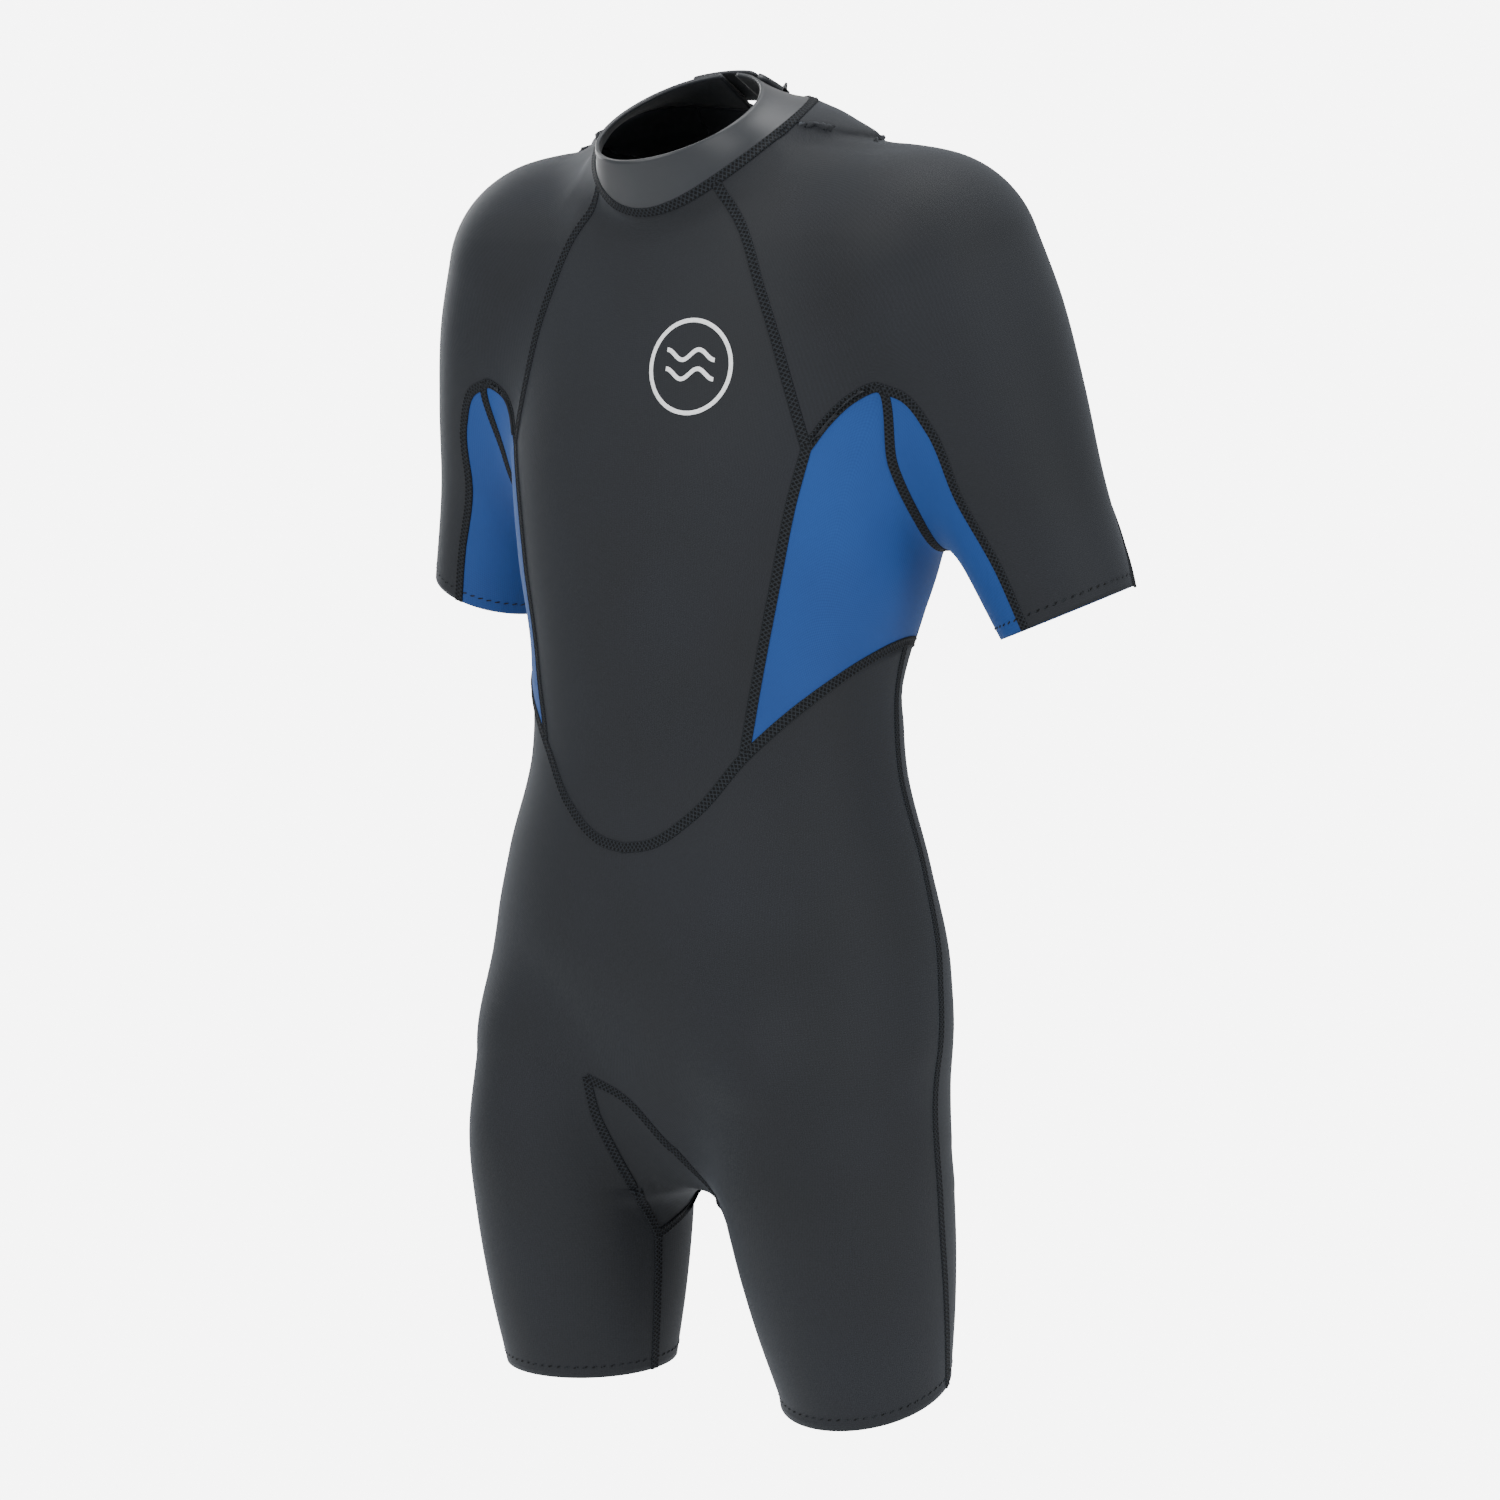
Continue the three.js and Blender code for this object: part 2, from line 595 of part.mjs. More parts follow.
/** Each panel by name: its colour and a place on it that tells it from the others. */
function panelPlaces() {
  const places = [
    ['chest_panel', colours.black, onTrunk(crotchZ(460), 0)],
    ['lower_front_panel', colours.black, onTrunk(crotchZ(200), 20)],
    ['crotch_gusset', colours.black, onTrunk(crotchHeight + 0.5, 0)],
    ['collar', colours.smooth, onNeck(collarRun + 0.6, 90)],
  ];
  for (const [word, side] of sideNames) {
    places.push([`sleeve_panel_${word}`, colours.black, onSleeve(side, 150, 60)]);
    places.push([`underarm_panel_${word}`, colours.blue, onSleeve(side, 200, 260)]);
    places.push([`side_panel_${word}`, colours.blue, onTrunk(crotchZ(440), 85 * side)]);
    places.push([`back_panel_${word}`, colours.black, onTrunk(crotchZ(500), 155 * side)]);
    places.push([`seat_panel_${word}`, colours.black, onTrunk(crotchZ(200), 150 * side)]);
  }
  return places;
}

function addPanels(cuts) {
  const pieces = skin.subtract(cuts).decompose();
  for (const [name, colour, place] of panelPlaces()) {
    const { x, y, z } = place.point;
    const probe = solid(new THREE.BoxGeometry(8, 8, 8).translate(x, y, z));
    const piece = pieces.find((each) => !each.intersect(probe).isEmpty());
    if (!piece) throw new Error(`no panel at ${name}`);
    addPiece(name, piece, colour, { roughness: name === 'collar' ? 0.6 : 0.85 });
  }
}

/** Turned-up bands inside the four limb openings. */
function addHems() {
  const [outer, inner] = [-wall - gap, -wall - gap - 1.6];
  for (const [word, side] of sideNames) {
    const hem = legHems[word];
    const cuff = sleeveSolid(side, outer).subtract(sleeveSolid(side, inner));
    const ring = cuff.intersect(aboveCuff(side, 0)).subtract(aboveCuff(side, hemDepth));
    addPiece(`sleeve_hem_${word}`, largest(ring), colours.black);
    const leg = legSolid(hem, outer).subtract(legSolid(hem, inner));
    addPiece(`leg_hem_${word}`, largest(leg.intersect(aboveHem(hem, 0)).subtract(aboveHem(hem, hemDepth))),
      colours.black);
  }
}

// ---------------------------------------------------------------- the zip

const zipAngle = (height) => Math.asin((height - zipCentre.y) / zipRadius);
const tapeTop = -wall - 0.6; // heights off the outside of the panels, along the arc's radius
const flapTop = tapeTop - tapeThick - 0.5;
const chainFoot = tapeTop + gap;

/** A bar that follows the zip's arc: x and radial extents, and the angles that it runs between. */
function arcBar([x0, x1], [low, high], [from, to]) {
  const [inner, outer] = [zipRadius + low, zipRadius + high];
  const shape = new THREE.Shape();
  shape.absarc(0, 0, outer, from, to, false);
  shape.absarc(0, 0, inner, to, from, true);
  const segments = Math.ceil((zipRadius * (to - from)) / arcStep);
  const bar = new THREE.ExtrudeGeometry(shape, { depth: x1 - x0, bevelEnabled: false, curveSegments: segments });
  const axes = new THREE.Matrix4().makeBasis(
    new THREE.Vector3(0, 1, 0), new THREE.Vector3(0, 0, 1), new THREE.Vector3(1, 0, 0));
  return solid(bar.applyMatrix4(axes).translate(x0, zipCentre.x, zipCentre.y));
}

/** Everything that the skin leaves free for the zip: the slot, and room behind it for the tapes and the flap. */
function zipRoom() {
  const slotBottom = zipBottom - stopLength - 6; // in the waist seam
  const slot = box([zipSlot, 300, 460], [0, 150, slotBottom + 230]);
  const [from, to] = [zipAngle(zipBottom) - 0.1, zipAngle(zipTop) + 0.1];
  const tapes = arcBar([-tapeWidth - 1 - gap, tapeWidth + 1 + gap], [tapeTop - 12, tapeTop + gap], [from, to]);
  const flap = arcBar([-flapHalf - gap, flapHalf + gap], [tapeTop - 12, flapTop + gap], [from, to]);
  return slot.add(tapes).add(flap);
}

/** The frame of a place on the zip: X across, Y out from the back, Z up along the zip. */
function zipFrame(angle) {
  const out = new THREE.Vector3(0, Math.cos(angle), Math.sin(angle));
  const up = new THREE.Vector3(0, -Math.sin(angle), Math.cos(angle));
  const origin = new THREE.Vector3(0, zipCentre.x, zipCentre.y).addScaledVector(out, zipRadius);
  return new THREE.Matrix4().makeBasis(new THREE.Vector3(1, 0, 0), out, up).setPosition(origin);
}

const box = (size, at) => solid(new THREE.BoxGeometry(...size).translate(...at));

function addZip() {
  const [from, to] = [zipAngle(zipBottom + stopLength), zipAngle(zipTop)];
  const turn = (length) => length / zipRadius;
  for (const [word, side] of sideNames) {
    const span = (a, b) => (side > 0 ? [a, b] : [-b, -a]);
    const tape = arcBar(span(1, 1 + tapeWidth), [tapeTop - tapeThick, tapeTop], [from - turn(10), to + turn(9)]);
    addPiece(`zip_tape_${word}`, tape, colours.tape);
    addPiece(`zip_teeth_${word}`, arcBar(span(gap / 2, chainHalf), [chainFoot, chainProud], [from, to]), colours.tape,
      { roughness: 0.45 });
    const stop = arcBar(span(gap / 2, chainHalf), [chainFoot, chainProud + 1.2],
      [to + turn(gap), to + turn(gap + stopLength)]);
    addPiece(`zip_top_stop_${word}`, stop, colours.tape, { roughness: 0.45 });
  }
  const bottom = arcBar([-chainHalf, chainHalf], [chainFoot, chainProud + 1.2],
    [from - turn(gap + stopLength), from - turn(gap)]);
  addPiece('zip_bottom_stop', bottom, colours.tape, { roughness: 0.45 });
  const flap = arcBar([-flapHalf, flapHalf], [flapTop - flapThick, flapTop], [from - turn(16), to + turn(2)]);
  addPiece('zip_flap', flap, colours.black);
  addSlider(to - turn(sliderLength / 2 + gap));
}

/** The slider, a channel that rides over the teeth, with its pull under a bridge. */
function addSlider(angle) {
  const group = new THREE.Group();
  group.applyMatrix4(zipFrame(angle));
  wetsuit.add(group);
  const under = chainProud + 0.5;
  const top = under + plateThick;
  const axle = top + 1.6; // the pull's crossbar turns here
  let slider = box([2 * sliderHalf, plateThick, sliderLength], [0, under + plateThick / 2, 0]);
  for (const side of [1, -1]) {
    const flange = chainHalf + 0.5 + flangeThick / 2;
    slider = slider.add(box([flangeThick, under + 2.4, sliderLength], [side * flange, (under - 1.4) / 2, 0]));
    slider = slider.add(box([bridgeWidth, axle - top + 3.2, bridgeThick], [0, (top + axle + 2.8) / 2, side * 3.4]));
  }
  slider = slider.add(box([bridgeWidth, bridgeThick, 6.8 + bridgeThick], [0, axle + 1.5 + bridgeThick / 2, 0]));
  addPiece('zip_slider', slider, colours.metal, { roughness: 0.35, metalness: 0.8, parent: group });

  const crossbar = pullThick / 2;
  let pull = box([pullWidth, pullThick, pullLength], [0, 0, crossbar - pullLength / 2]);
  pull = pull.subtract(box([bridgeWidth + 1.6, 9, 5], [0, 0, -crossbar - 2.5]));
  pull = pull.subtract(box([pullWidth - 4.5, 9, 5], [0, 0, 5.5 - pullLength]));
  addPiece('zip_pull', pull.translate([0, axle, 0]), colours.metal,
    { roughness: 0.35, metalness: 0.8, parent: group });
}

// ---------------------------------------------------------------- collar closure and print

/** The part of the collar's outside between two offsets and two places across the back. */
function collarPatch([low, high], [x0, x1], [insetLow, insetHigh]) {
  const ring = trunkSolid(high).subtract(trunkSolid(low));
  const normal = new THREE.Vector3(0, -Math.sin(collarLean), Math.cos(collarLean));
  const { y, z } = neckRings[collarRun];
  const seam = new THREE.Vector3(0, y, z).addScaledVector(normal, seamWidth / 2 + insetLow);
  const tall = box([x1 - x0, 160, 160], [(x0 + x1) / 2, 80 + y, z + 80 - 20]);
  return largest(ring.intersect(tall).intersect(belowRim(insetHigh)).subtract(behind(seam, normal)));
}

function addCollarClosure() {
  const loop = [gap, gap + patchThick];
  const hook = [loop[1] + gap, loop[1] + gap + patchThick];
  const tab = [hook[1] + gap, hook[1] + gap + tabThick];
  const root = tabHalf - 11;
  addPiece('collar_loop_patch', collarPatch(loop, [3 - tabHalf, -zipSlot / 2 - 1], [5, 4]), colours.patch);
  addPiece('collar_hook_patch', collarPatch(hook, [3 - tabHalf, -zipSlot / 2 - 1], [5, 4]), colours.patch);
  addPiece('collar_tab', collarPatch(tab, [-tabHalf, root - gap], [4, 3]), colours.smooth);
  addPiece('collar_tab_root', collarPatch([gap, tab[1]], [root, tabHalf], [6, 3]), colours.smooth);
}

/** A print on the chest, cut from a thin layer over it by an outline seen from the front. */
function addPrint(name, outline, centre) {
  const layer = trunkSolid(gap + printThick).subtract(trunkSolid(gap));
  const cutter = new THREE.ExtrudeGeometry(outline, { depth: 90, bevelEnabled: false, curveSegments: 10 });
  cutter.rotateX(Math.PI / 2).translate(centre.point.x, centre.point.y + 45, centre.point.z);
  addPiece(name, largest(layer.intersect(solid(cutter))), colours.white, { roughness: 0.5 });
}

function waveOutline(height) {
  const crest = steps(-1, 1, 0.25).map((u) => new THREE.Vector2(u * 19, height + 3.5 * Math.sin(u * Math.PI)));
  const line = new THREE.SplineCurve(crest).getPoints(14);
  const below = line.map((p) => new THREE.Vector2(p.x, p.y - badgeLine)).reverse();
  return new THREE.Shape([...line, ...below]);
}

function addBadge() {
  const centre = onTrunk(crotchZ(583), 27);
  const ring = new THREE.Shape().absarc(0, 0, badgeRadius, 0, 2 * Math.PI, false);
  ring.holes.push(new THREE.Path().absarc(0, 0, badgeRadius - badgeLine, 0, 2 * Math.PI, true));
  addPrint('badge_ring', ring, centre);
  addPrint('badge_wave_upper', waveOutline(8), centre);
  addPrint('badge_wave_lower', waveOutline(-5), centre);
}

addPanels(addSeams());
addHems();
addZip();
addCollarClosure();
addBadge();

export default wetsuit;
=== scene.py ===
"""A short-sleeved, short-legged wetsuit, filled out as on a wearer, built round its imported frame.

The lines that the panels share are worked out in millimetres on one smooth form, and every mesh is in metres.
"""
import math

import bpy
import mathutils
import numpy as np
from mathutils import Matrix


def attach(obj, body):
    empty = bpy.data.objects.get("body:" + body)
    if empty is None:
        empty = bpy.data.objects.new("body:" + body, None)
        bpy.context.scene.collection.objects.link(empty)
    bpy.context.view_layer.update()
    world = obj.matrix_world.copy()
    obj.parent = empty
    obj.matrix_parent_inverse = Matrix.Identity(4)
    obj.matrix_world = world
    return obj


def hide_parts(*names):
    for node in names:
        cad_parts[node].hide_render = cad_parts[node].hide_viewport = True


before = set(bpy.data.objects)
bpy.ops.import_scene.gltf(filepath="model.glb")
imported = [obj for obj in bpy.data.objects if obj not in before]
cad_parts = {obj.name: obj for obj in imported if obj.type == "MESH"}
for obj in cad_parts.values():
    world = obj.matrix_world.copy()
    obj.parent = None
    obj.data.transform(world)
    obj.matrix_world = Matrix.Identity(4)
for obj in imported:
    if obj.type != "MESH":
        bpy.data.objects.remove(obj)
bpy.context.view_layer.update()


# ------------------------------------------------------------------------------------------ chest panel
# One piece of 2.6 mm foam rubber, faced on both sides with charcoal nylon jersey, from the collar down to the
# low U at the waist. The jersey is a fine knit whose ribs run up the body: it is matt, with a faint sheen.

FOAM = 2.6
STRETCH = 1.04  # the worn suit is stretched this much over its cut size
CHARCOAL, CHARCOAL_WORN, CHARCOAL_DEEP = "#15181D", "#1A1D23", "#101317"
KNIT_RIB, KNIT_RELIEF = 0.0019, 0.00006  # metres; real ribs are a third as wide, too fine to show
WAVE = 0.314  # the scale at which a wave texture repeats once in a metre

# The suit takes its wearer's shape. The outer face of each panel lies on one form, the smooth union of a
# trunk, upper arms, thighs and a neck. The zip's arc is the line of its spine. Heights are above the leg hems.
ZIP_Y, ZIP_Z, ZIP_RADIUS = -258.0, 658.0, 389.0
TRUNK = np.array([  # height, half width, front, back
    [140, 58, -34, 52], [154, 100, -50, 78], [182, 140, -68, 100], [230, 168, -92, 113],
    [300, 176, -111, 113], [370, 162, -108, 103], [440, 141, -101, 97], [510, 140, -104, 102],
    [580, 158, -104, 120],
    [650, 169, -101, 129], [710, 172, -93, 127], [760, 176, -84, 119], [795, 173, -76, 107],
    [820, 159, -69, 96], [845, 142, -58, 80], [868, 118, -38, 60]], float)
ARM = np.array([  # distance past the shoulder, half width, half depth
    [0, 75.5, 83], [53, 73.6, 82], [116, 65.7, 72], [179, 55.5, 59], [253, 48.5, 50.5]], float)
LEG = np.array([  # distance below the top, half width, half depth
    [0, 68.5, 79], [60, 76.5, 88], [120, 75, 83], [180, 69.3, 73], [232, 61, 62]], float)
SHOULDER, CUFF = np.array([162.5, 20.5, 782]), np.array([253, 59.5, 548.5])
THIGH = {1: np.array([109, -24, 230]), -1: np.array([-109, -24, 230])}
HEM = {1: np.array([106.5, 30.5, 0]), -1: np.array([-105, -15, 0])}
NECK_ROWS = np.array([  # distance above the collar seam, half width, half depth
    [-50, 60, 40], [-20, 84, 74], [0, 79, 76], [38, 57, 65]], float)
NECK, RIM, RIM_LEAN = np.array([0, -17, 856]), np.array([0, -45, 884]), 29.5


def curve(t, ts, values):
    """Cubic through the values at ts. The slope at each knot is that between its neighbours."""
    ts, values = np.asarray(ts, float), np.asarray(values, float)
    slope = np.gradient(values, ts, axis=0)
    k = np.clip(np.searchsorted(ts, t, side="right") - 1, 0, len(ts) - 2)
    h = ts[k + 1] - ts[k]
    u = np.clip((t - ts[k]) / h, 0, 1)
    wide = (Ellipsis,) + (None,) * (values.ndim - 1)
    u, h = u[wide], h[wide]
    return ((1 + 2 * u) * (1 - u) ** 2 * values[k] + u * (1 - u) ** 2 * h * slope[k]
            + u * u * (3 - 2 * u) * values[k + 1] + u * u * (u - 1) * h * slope[k + 1])


def smooth_min(a, b, reach):
    """The lesser of two distances, rounded where they are within reach of each other."""
    near = np.maximum(reach - np.abs(a - b), 0) / reach
    return np.minimum(a, b) - near * near * reach / 4


def axes_of(start, end):
    """Unit vectors across, forward and along a limb that runs from start to end, as columns."""
    along = (end - start) / np.linalg.norm(end - start)
    across = np.array([1, 0, 0]) - along * along[0]
    across /= np.linalg.norm(across)
    return np.stack([across, np.cross(along, across), along], 1)


def tube(points, start, end, rows):
    """Distance outside a tube of elliptical sections whose half sizes follow rows, with a domed start."""
    x, y, t = ((points - start) @ axes_of(start, end)).T
    half, deep = curve(t, rows[:, 0], rows[:, 1]), curve(t, rows[:, 0], rows[:, 2])
    over = np.minimum(t - rows[0, 0], 0)
    share = np.sqrt((x / half) ** 2 + (y / deep) ** 2 + (2 * over / (half + deep)) ** 2)
    reach = np.sqrt(x * x + y * y + over * over)
    return reach - reach / np.maximum(share, 1e-6)


def spine(z):
    """How far back the zip's arc stands at a height."""
    return ZIP_Y + np.sqrt(ZIP_RADIUS ** 2 - (z - ZIP_Z) ** 2)


def trunk_middle(z):
    """Half width, middle and half depth of the trunk's section at a height."""
    half, front, back = (curve(z, TRUNK[:, 0], TRUNK[:, k]) for k in (1, 2, 3))
    share = np.clip((z - 465) / 40, 0, 1)
    back = back + share ** 2 * (3 - 2 * share) * (spine(np.clip(z, 465, 900)) - back)
    return half, (front + back) / 2, (back - front) / 2


def trunk_form(points):
    """Distance outside the trunk: sections with |x/a|^n + |y/b|^n = 1, domed at both ends.

    n is 2.3, and falls to 1.7 above the shoulders, where the section narrows to a ridge from neck to arm.
    """
    def across(z):
        zc = np.clip(z, TRUNK[0, 0], TRUNK[-1, 0])
        half, middle, deep = trunk_middle(zc)
        x, y, over = points[:, 0], points[:, 1] - middle, np.maximum((z - zc) / 20, (zc - z) / 6)
        square = 2.3 - 0.6 * np.clip((z - 800) / 60, 0, 1)
        share = (np.abs(x / half) ** square + np.abs(y / deep) ** square) ** (1 / square)
        reach = np.sqrt(x * x + y * y + (z - zc) ** 2)
        return reach - reach / np.maximum(np.sqrt(share ** 2 + over ** 2), 1e-6)
    here = across(points[:, 2])
    slope = (across(points[:, 2] + 4) - here) / 4
    return here / np.sqrt(1 + np.minimum(slope ** 2, 9))


def arm_form(points):
    """Distance outside the nearer arm. The wearer's right arm mirrors the left."""
    return tube(np.c_[np.abs(points[:, 0]), points[:, 1:]], SHOULDER, CUFF, ARM)


def neck_form(points):
    """Distance outside the neck: ellipses that lean with the collar, on a line that leans further."""
    lean = math.radians(RIM_LEAN)
    up = np.array([0, -math.sin(lean), math.cos(lean)])
    forward = np.array([0, math.cos(lean), math.sin(lean)])
    t = (points - NECK) @ up
    off = points - NECK - (RIM - NECK) * (t / ((RIM - NECK) @ up))[:, None]
    half = np.interp(t, NECK_ROWS[:, 0], NECK_ROWS[:, 1])
    deep = np.interp(t, NECK_ROWS[:, 0], NECK_ROWS[:, 2])
    reach = np.linalg.norm(off, axis=1)
    aside = 0.9 * (reach - reach / np.maximum(np.hypot(off[:, 0] / half, off @ forward / deep), 1e-6))
    return np.maximum(aside, -34 - t)


def form(points):
    """Distance outside the worn form in millimetres, below zero inside it."""
    body = smooth_min(trunk_form(points), arm_form(points), 40)
    body = smooth_min(body, neck_form(points), 14)
    legs = smooth_min(*(tube(points, THIGH[s], HEM[s], LEG) for s in (1, -1)), 14)
    return smooth_min(body, legs, 36)


def gradient(points, distance=form, step=1.0):
    """The way that a distance grows, by central differences."""
    rises = [distance(points + step * e) - distance(points - step * e) for e in np.eye(3)]
    return np.stack([rise / (2 * step) for rise in rises], -1)


def facing(points):
    """Outward unit normals of the form."""
    g = gradient(points.reshape(-1, 3), step=1.5)
    return (g / np.linalg.norm(g, axis=-1, keepdims=True)).reshape(points.shape)


def project(points, rounds=6):
    """Points moved along the form's gradient until they lie on it."""
    p = points.reshape(-1, 3).copy()
    for _ in range(rounds):
        g = gradient(p)
        step = form(p)[:, None] * g / np.maximum((g * g).sum(-1, keepdims=True), 0.2)
        p -= step * np.minimum(1, 12 / np.maximum(np.linalg.norm(step, axis=-1, keepdims=True), 1e-9))
    return p.reshape(points.shape)


def on_collar_seam(turn):
    """A place on the leaning, saddle-shaped line where the collar is sewn on."""
    s, c = np.sin(np.radians(turn)), np.cos(np.radians(turn))
    lean = math.tan(math.radians(RIM_LEAN))
    reach = 1 / np.sqrt((s / 80) ** 2 + (c / 68) ** 2)
    return np.stack([reach * s, NECK[1] - reach * c, NECK[2] - reach * c * lean + 26 * s * s], -1)


RING_TURNS = np.arange(-180, 181, 5.0)
RING = project(on_collar_seam(RING_TURNS), 12)
RING_SHIFT = on_collar_seam(RING_TURNS) - RING


def onto(points, rounds=6):
    """Points laid on the form, and drawn within 60 mm of the collar seam to that seam's own line."""
    p = project(points, rounds)
    turn = np.degrees(np.arctan2(p[..., 0], NECK[1] - p[..., 1]))
    near = np.stack([np.interp(turn, RING_TURNS, RING[:, k]) for k in range(3)], -1)
    shift = np.stack([np.interp(turn, RING_TURNS, RING_SHIFT[:, k]) for k in range(3)], -1)
    w = np.clip(1 - np.linalg.norm(p - near, axis=-1, keepdims=True) / 60, 0, 1)
    return p + shift * w * w * (3 - 2 * w)


def from_inside(origin, way, reach=230):
    """The first place outwards from origin where the form ends."""
    s = np.arange(0, reach, 3.0)
    outside = form(origin + s[:, None] * way) > 0
    k = max(int(np.argmax(outside)), 1)
    low, high = s[k - 1], s[k]
    for _ in range(14):
        mid = (low + high) / 2
        if form((origin + mid * way)[None])[0] > 0:
            high = mid
        else:
            low = mid
    return origin + mid * way


def on_trunk(z, turn):
    """A place on the trunk: turn is in degrees, 0 in front, 90 at the wearer's left, 180 behind."""
    a = math.radians(turn)
    middle = float(trunk_middle(np.array(float(z)))[1])
    return from_inside(np.array([0, middle, z]), np.array([math.sin(a), -math.cos(a), 0]))


def even(points, count):
    """A polyline resampled at even lengths."""
    s = np.r_[0, np.cumsum(np.linalg.norm(np.diff(points, axis=0), axis=1))]
    at = np.linspace(0, s[-1], count)
    return np.stack([np.interp(at, s, points[:, k]) for k in range(3)], -1)


def line(points, count=200):
    """A smooth line through points, at even lengths along it, laid onto the form."""
    p = np.asarray(points, float)
    s = np.r_[0, np.cumsum(np.linalg.norm(np.diff(p, axis=0), axis=1))]
    dense = onto(curve(np.linspace(0, s[-1], 4 * count), s, p), 5)
    return even(dense, count)


def mirrored(points):
    return np.asarray(points) * [-1, 1, 1]


def waist_height(turn):
    return curve(np.array(float(turn)), [0, 8, 16, 24, 31.5, 40, 46.7, 62.7, 79.5, 101, 118, 152, 181],
                 [386, 387.5, 393, 402.5, 415, 434, 452, 484, 511, 526, 522, 500, 487])


def waist(turns):
    return [on_trunk(float(waist_height(t)), t) for t in turns]


CORNER, SIDE_FOOT = np.array([127, -68, 660]), on_trunk(454, 46.7)
FRONT_TURN, BACK_TURN, OPENING_TURN = 44, 138, 173.2  # where seams and the opening meet the collar
RAGLAN = line([on_collar_seam(FRONT_TURN), [76, -68, 801], [90, -72, 770], [102, -73, 741], [115, -71, 700],
               CORNER])
SIDE_FRONT = line([CORNER, [119, -74, 623], [109, -78, 570], [99, -82, 516], SIDE_FOOT])


def linear(code):
    """A hex sRGB colour as linear RGBA."""
    c = np.array([int(code[k:k + 2], 16) for k in (1, 3, 5)]) / 255
    return (*np.where(c <= 0.04045, c / 12.92, ((c + 0.055) / 1.055) ** 2.4), 1)


def add(tree, kind, inputs=(), **settings):
    """A shader node with its settings, and its inputs set to values or linked to other nodes' outputs."""
    made = tree.nodes.new("ShaderNode" + kind)
    for key, value in settings.items():
        setattr(made, key, value)
    for key, value in dict(inputs).items():
        if isinstance(value, bpy.types.NodeSocket):
            tree.links.new(value, made.inputs[key])
        else:
            made.inputs[key].default_value = value
    return made


def colours(tree, factor, stops):
    """A colour ramp over a factor; stops are (place, hex colour)."""
    ramp = add(tree, "ValToRGB", {"Fac": factor})
    for k, (place, code) in enumerate(stops):
        element = ramp.color_ramp.elements[k] if k < 2 else ramp.color_ramp.elements.new(place)
        element.position, element.color = place, linear(code)
    return ramp.outputs["Color"]


def surface(name, make, **sockets):
    """A material. make gives the shader's colour, roughness and bump from the tree."""
    material = bpy.data.materials.new(name)
    material.use_nodes = True
    tree = material.node_tree
    tree.nodes.clear()
    shader = add(tree, "BsdfPrincipled", {**make(tree), **sockets})
    add(tree, "OutputMaterial", {"Surface": shader.outputs["BSDF"]})
    return material


def jersey(base, light, deep):
    """Knitted nylon on foam: ribs up the body, crossed by finer rows, with an uneven dye and stretch."""
    def make(tree):
        uv = add(tree, "UVMap", uv_map="Cloth").outputs["UV"]
        place = add(tree, "TexCoord").outputs["Object"]
        ribs = add(tree, "TexWave", {"Vector": uv, "Scale": WAVE / KNIT_RIB, "Distortion": 0.6, "Detail": 1.0,
                                     "Detail Scale": 2.0}, bands_direction="X")
        rows = add(tree, "TexWave", {"Vector": uv, "Scale": WAVE / KNIT_RIB * 1.3, "Distortion": 0.4},
                   bands_direction="Y")
        slow = add(tree, "TexNoise", {"Vector": place, "Scale": 9.0, "Detail": 3.0})
        fine = add(tree, "TexNoise", {"Vector": uv, "Scale": 900.0, "Detail": 2.0})
        knit = add(tree, "Math", {0: ribs.outputs["Fac"], 1: rows.outputs["Fac"]}, operation="ADD")
        weighed = dict(operation="MULTIPLY_ADD")
        both = add(tree, "Math", {0: knit.outputs[0], 1: 0.18, 2: slow.outputs["Fac"]}, **weighed)
        mottle = add(tree, "Math", {0: fine.outputs["Fac"], 1: 0.22, 2: both.outputs[0]}, **weighed)
        shade = add(tree, "MapRange", {"Value": mottle.outputs[0], "From Min": 0.45, "From Max": 1.15})
        rough = add(tree, "MapRange", {"Value": slow.outputs["Fac"], "To Min": 0.66, "To Max": 0.8})
        relief = add(tree, "Bump", {"Height": knit.outputs[0], "Strength": 0.35, "Distance": KNIT_RELIEF})
        return {"Base Color": colours(tree, shade.outputs[0], [(0.0, deep), (1.0, light), (0.5, base)]),
                "Roughness": rough.outputs[0], "Normal": relief.outputs["Normal"]}
    return make


charcoal_jersey = surface("charcoal_nylon_jersey", jersey(CHARCOAL, CHARCOAL_WORN, CHARCOAL_DEEP), **{
    "IOR": 1.5, "Specular IOR Level": 0.35, "Sheen Weight": 0.18, "Sheen Roughness": 0.45,
    "Sheen Tint": linear("#9FA8B4")})


def net(guides, across, rows, top=None, bottom=None):
    """A grid laid on the form: cubics across the guides, its end rows drawn to the top and bottom lines."""
    g = np.stack([x if len(x) == rows else even(x, rows) for x in guides])
    width = np.linalg.norm(np.diff(g[:, rows // 2], axis=0), axis=1)
    grid = curve(np.linspace(0, 1, across), np.r_[0, np.cumsum(width)] / width.sum(), g)
    v = np.linspace(0, 1, rows)[None, :, None]
    if top is not None:
        grid = grid + (1 - v) ** 2 * (even(top, across) - grid[:, 0])[:, None]
    if bottom is not None:
        grid = grid + v ** 2 * (even(bottom, across) - grid[:, -1])[:, None]
    return onto(grid, 5)


def lengths(grid, axis):
    """Mean running length along one axis of a grid, from its start."""
    step = np.linalg.norm(np.diff(grid, axis=axis), axis=-1).mean(axis=1 - axis)
    return np.r_[0, np.cumsum(step)]


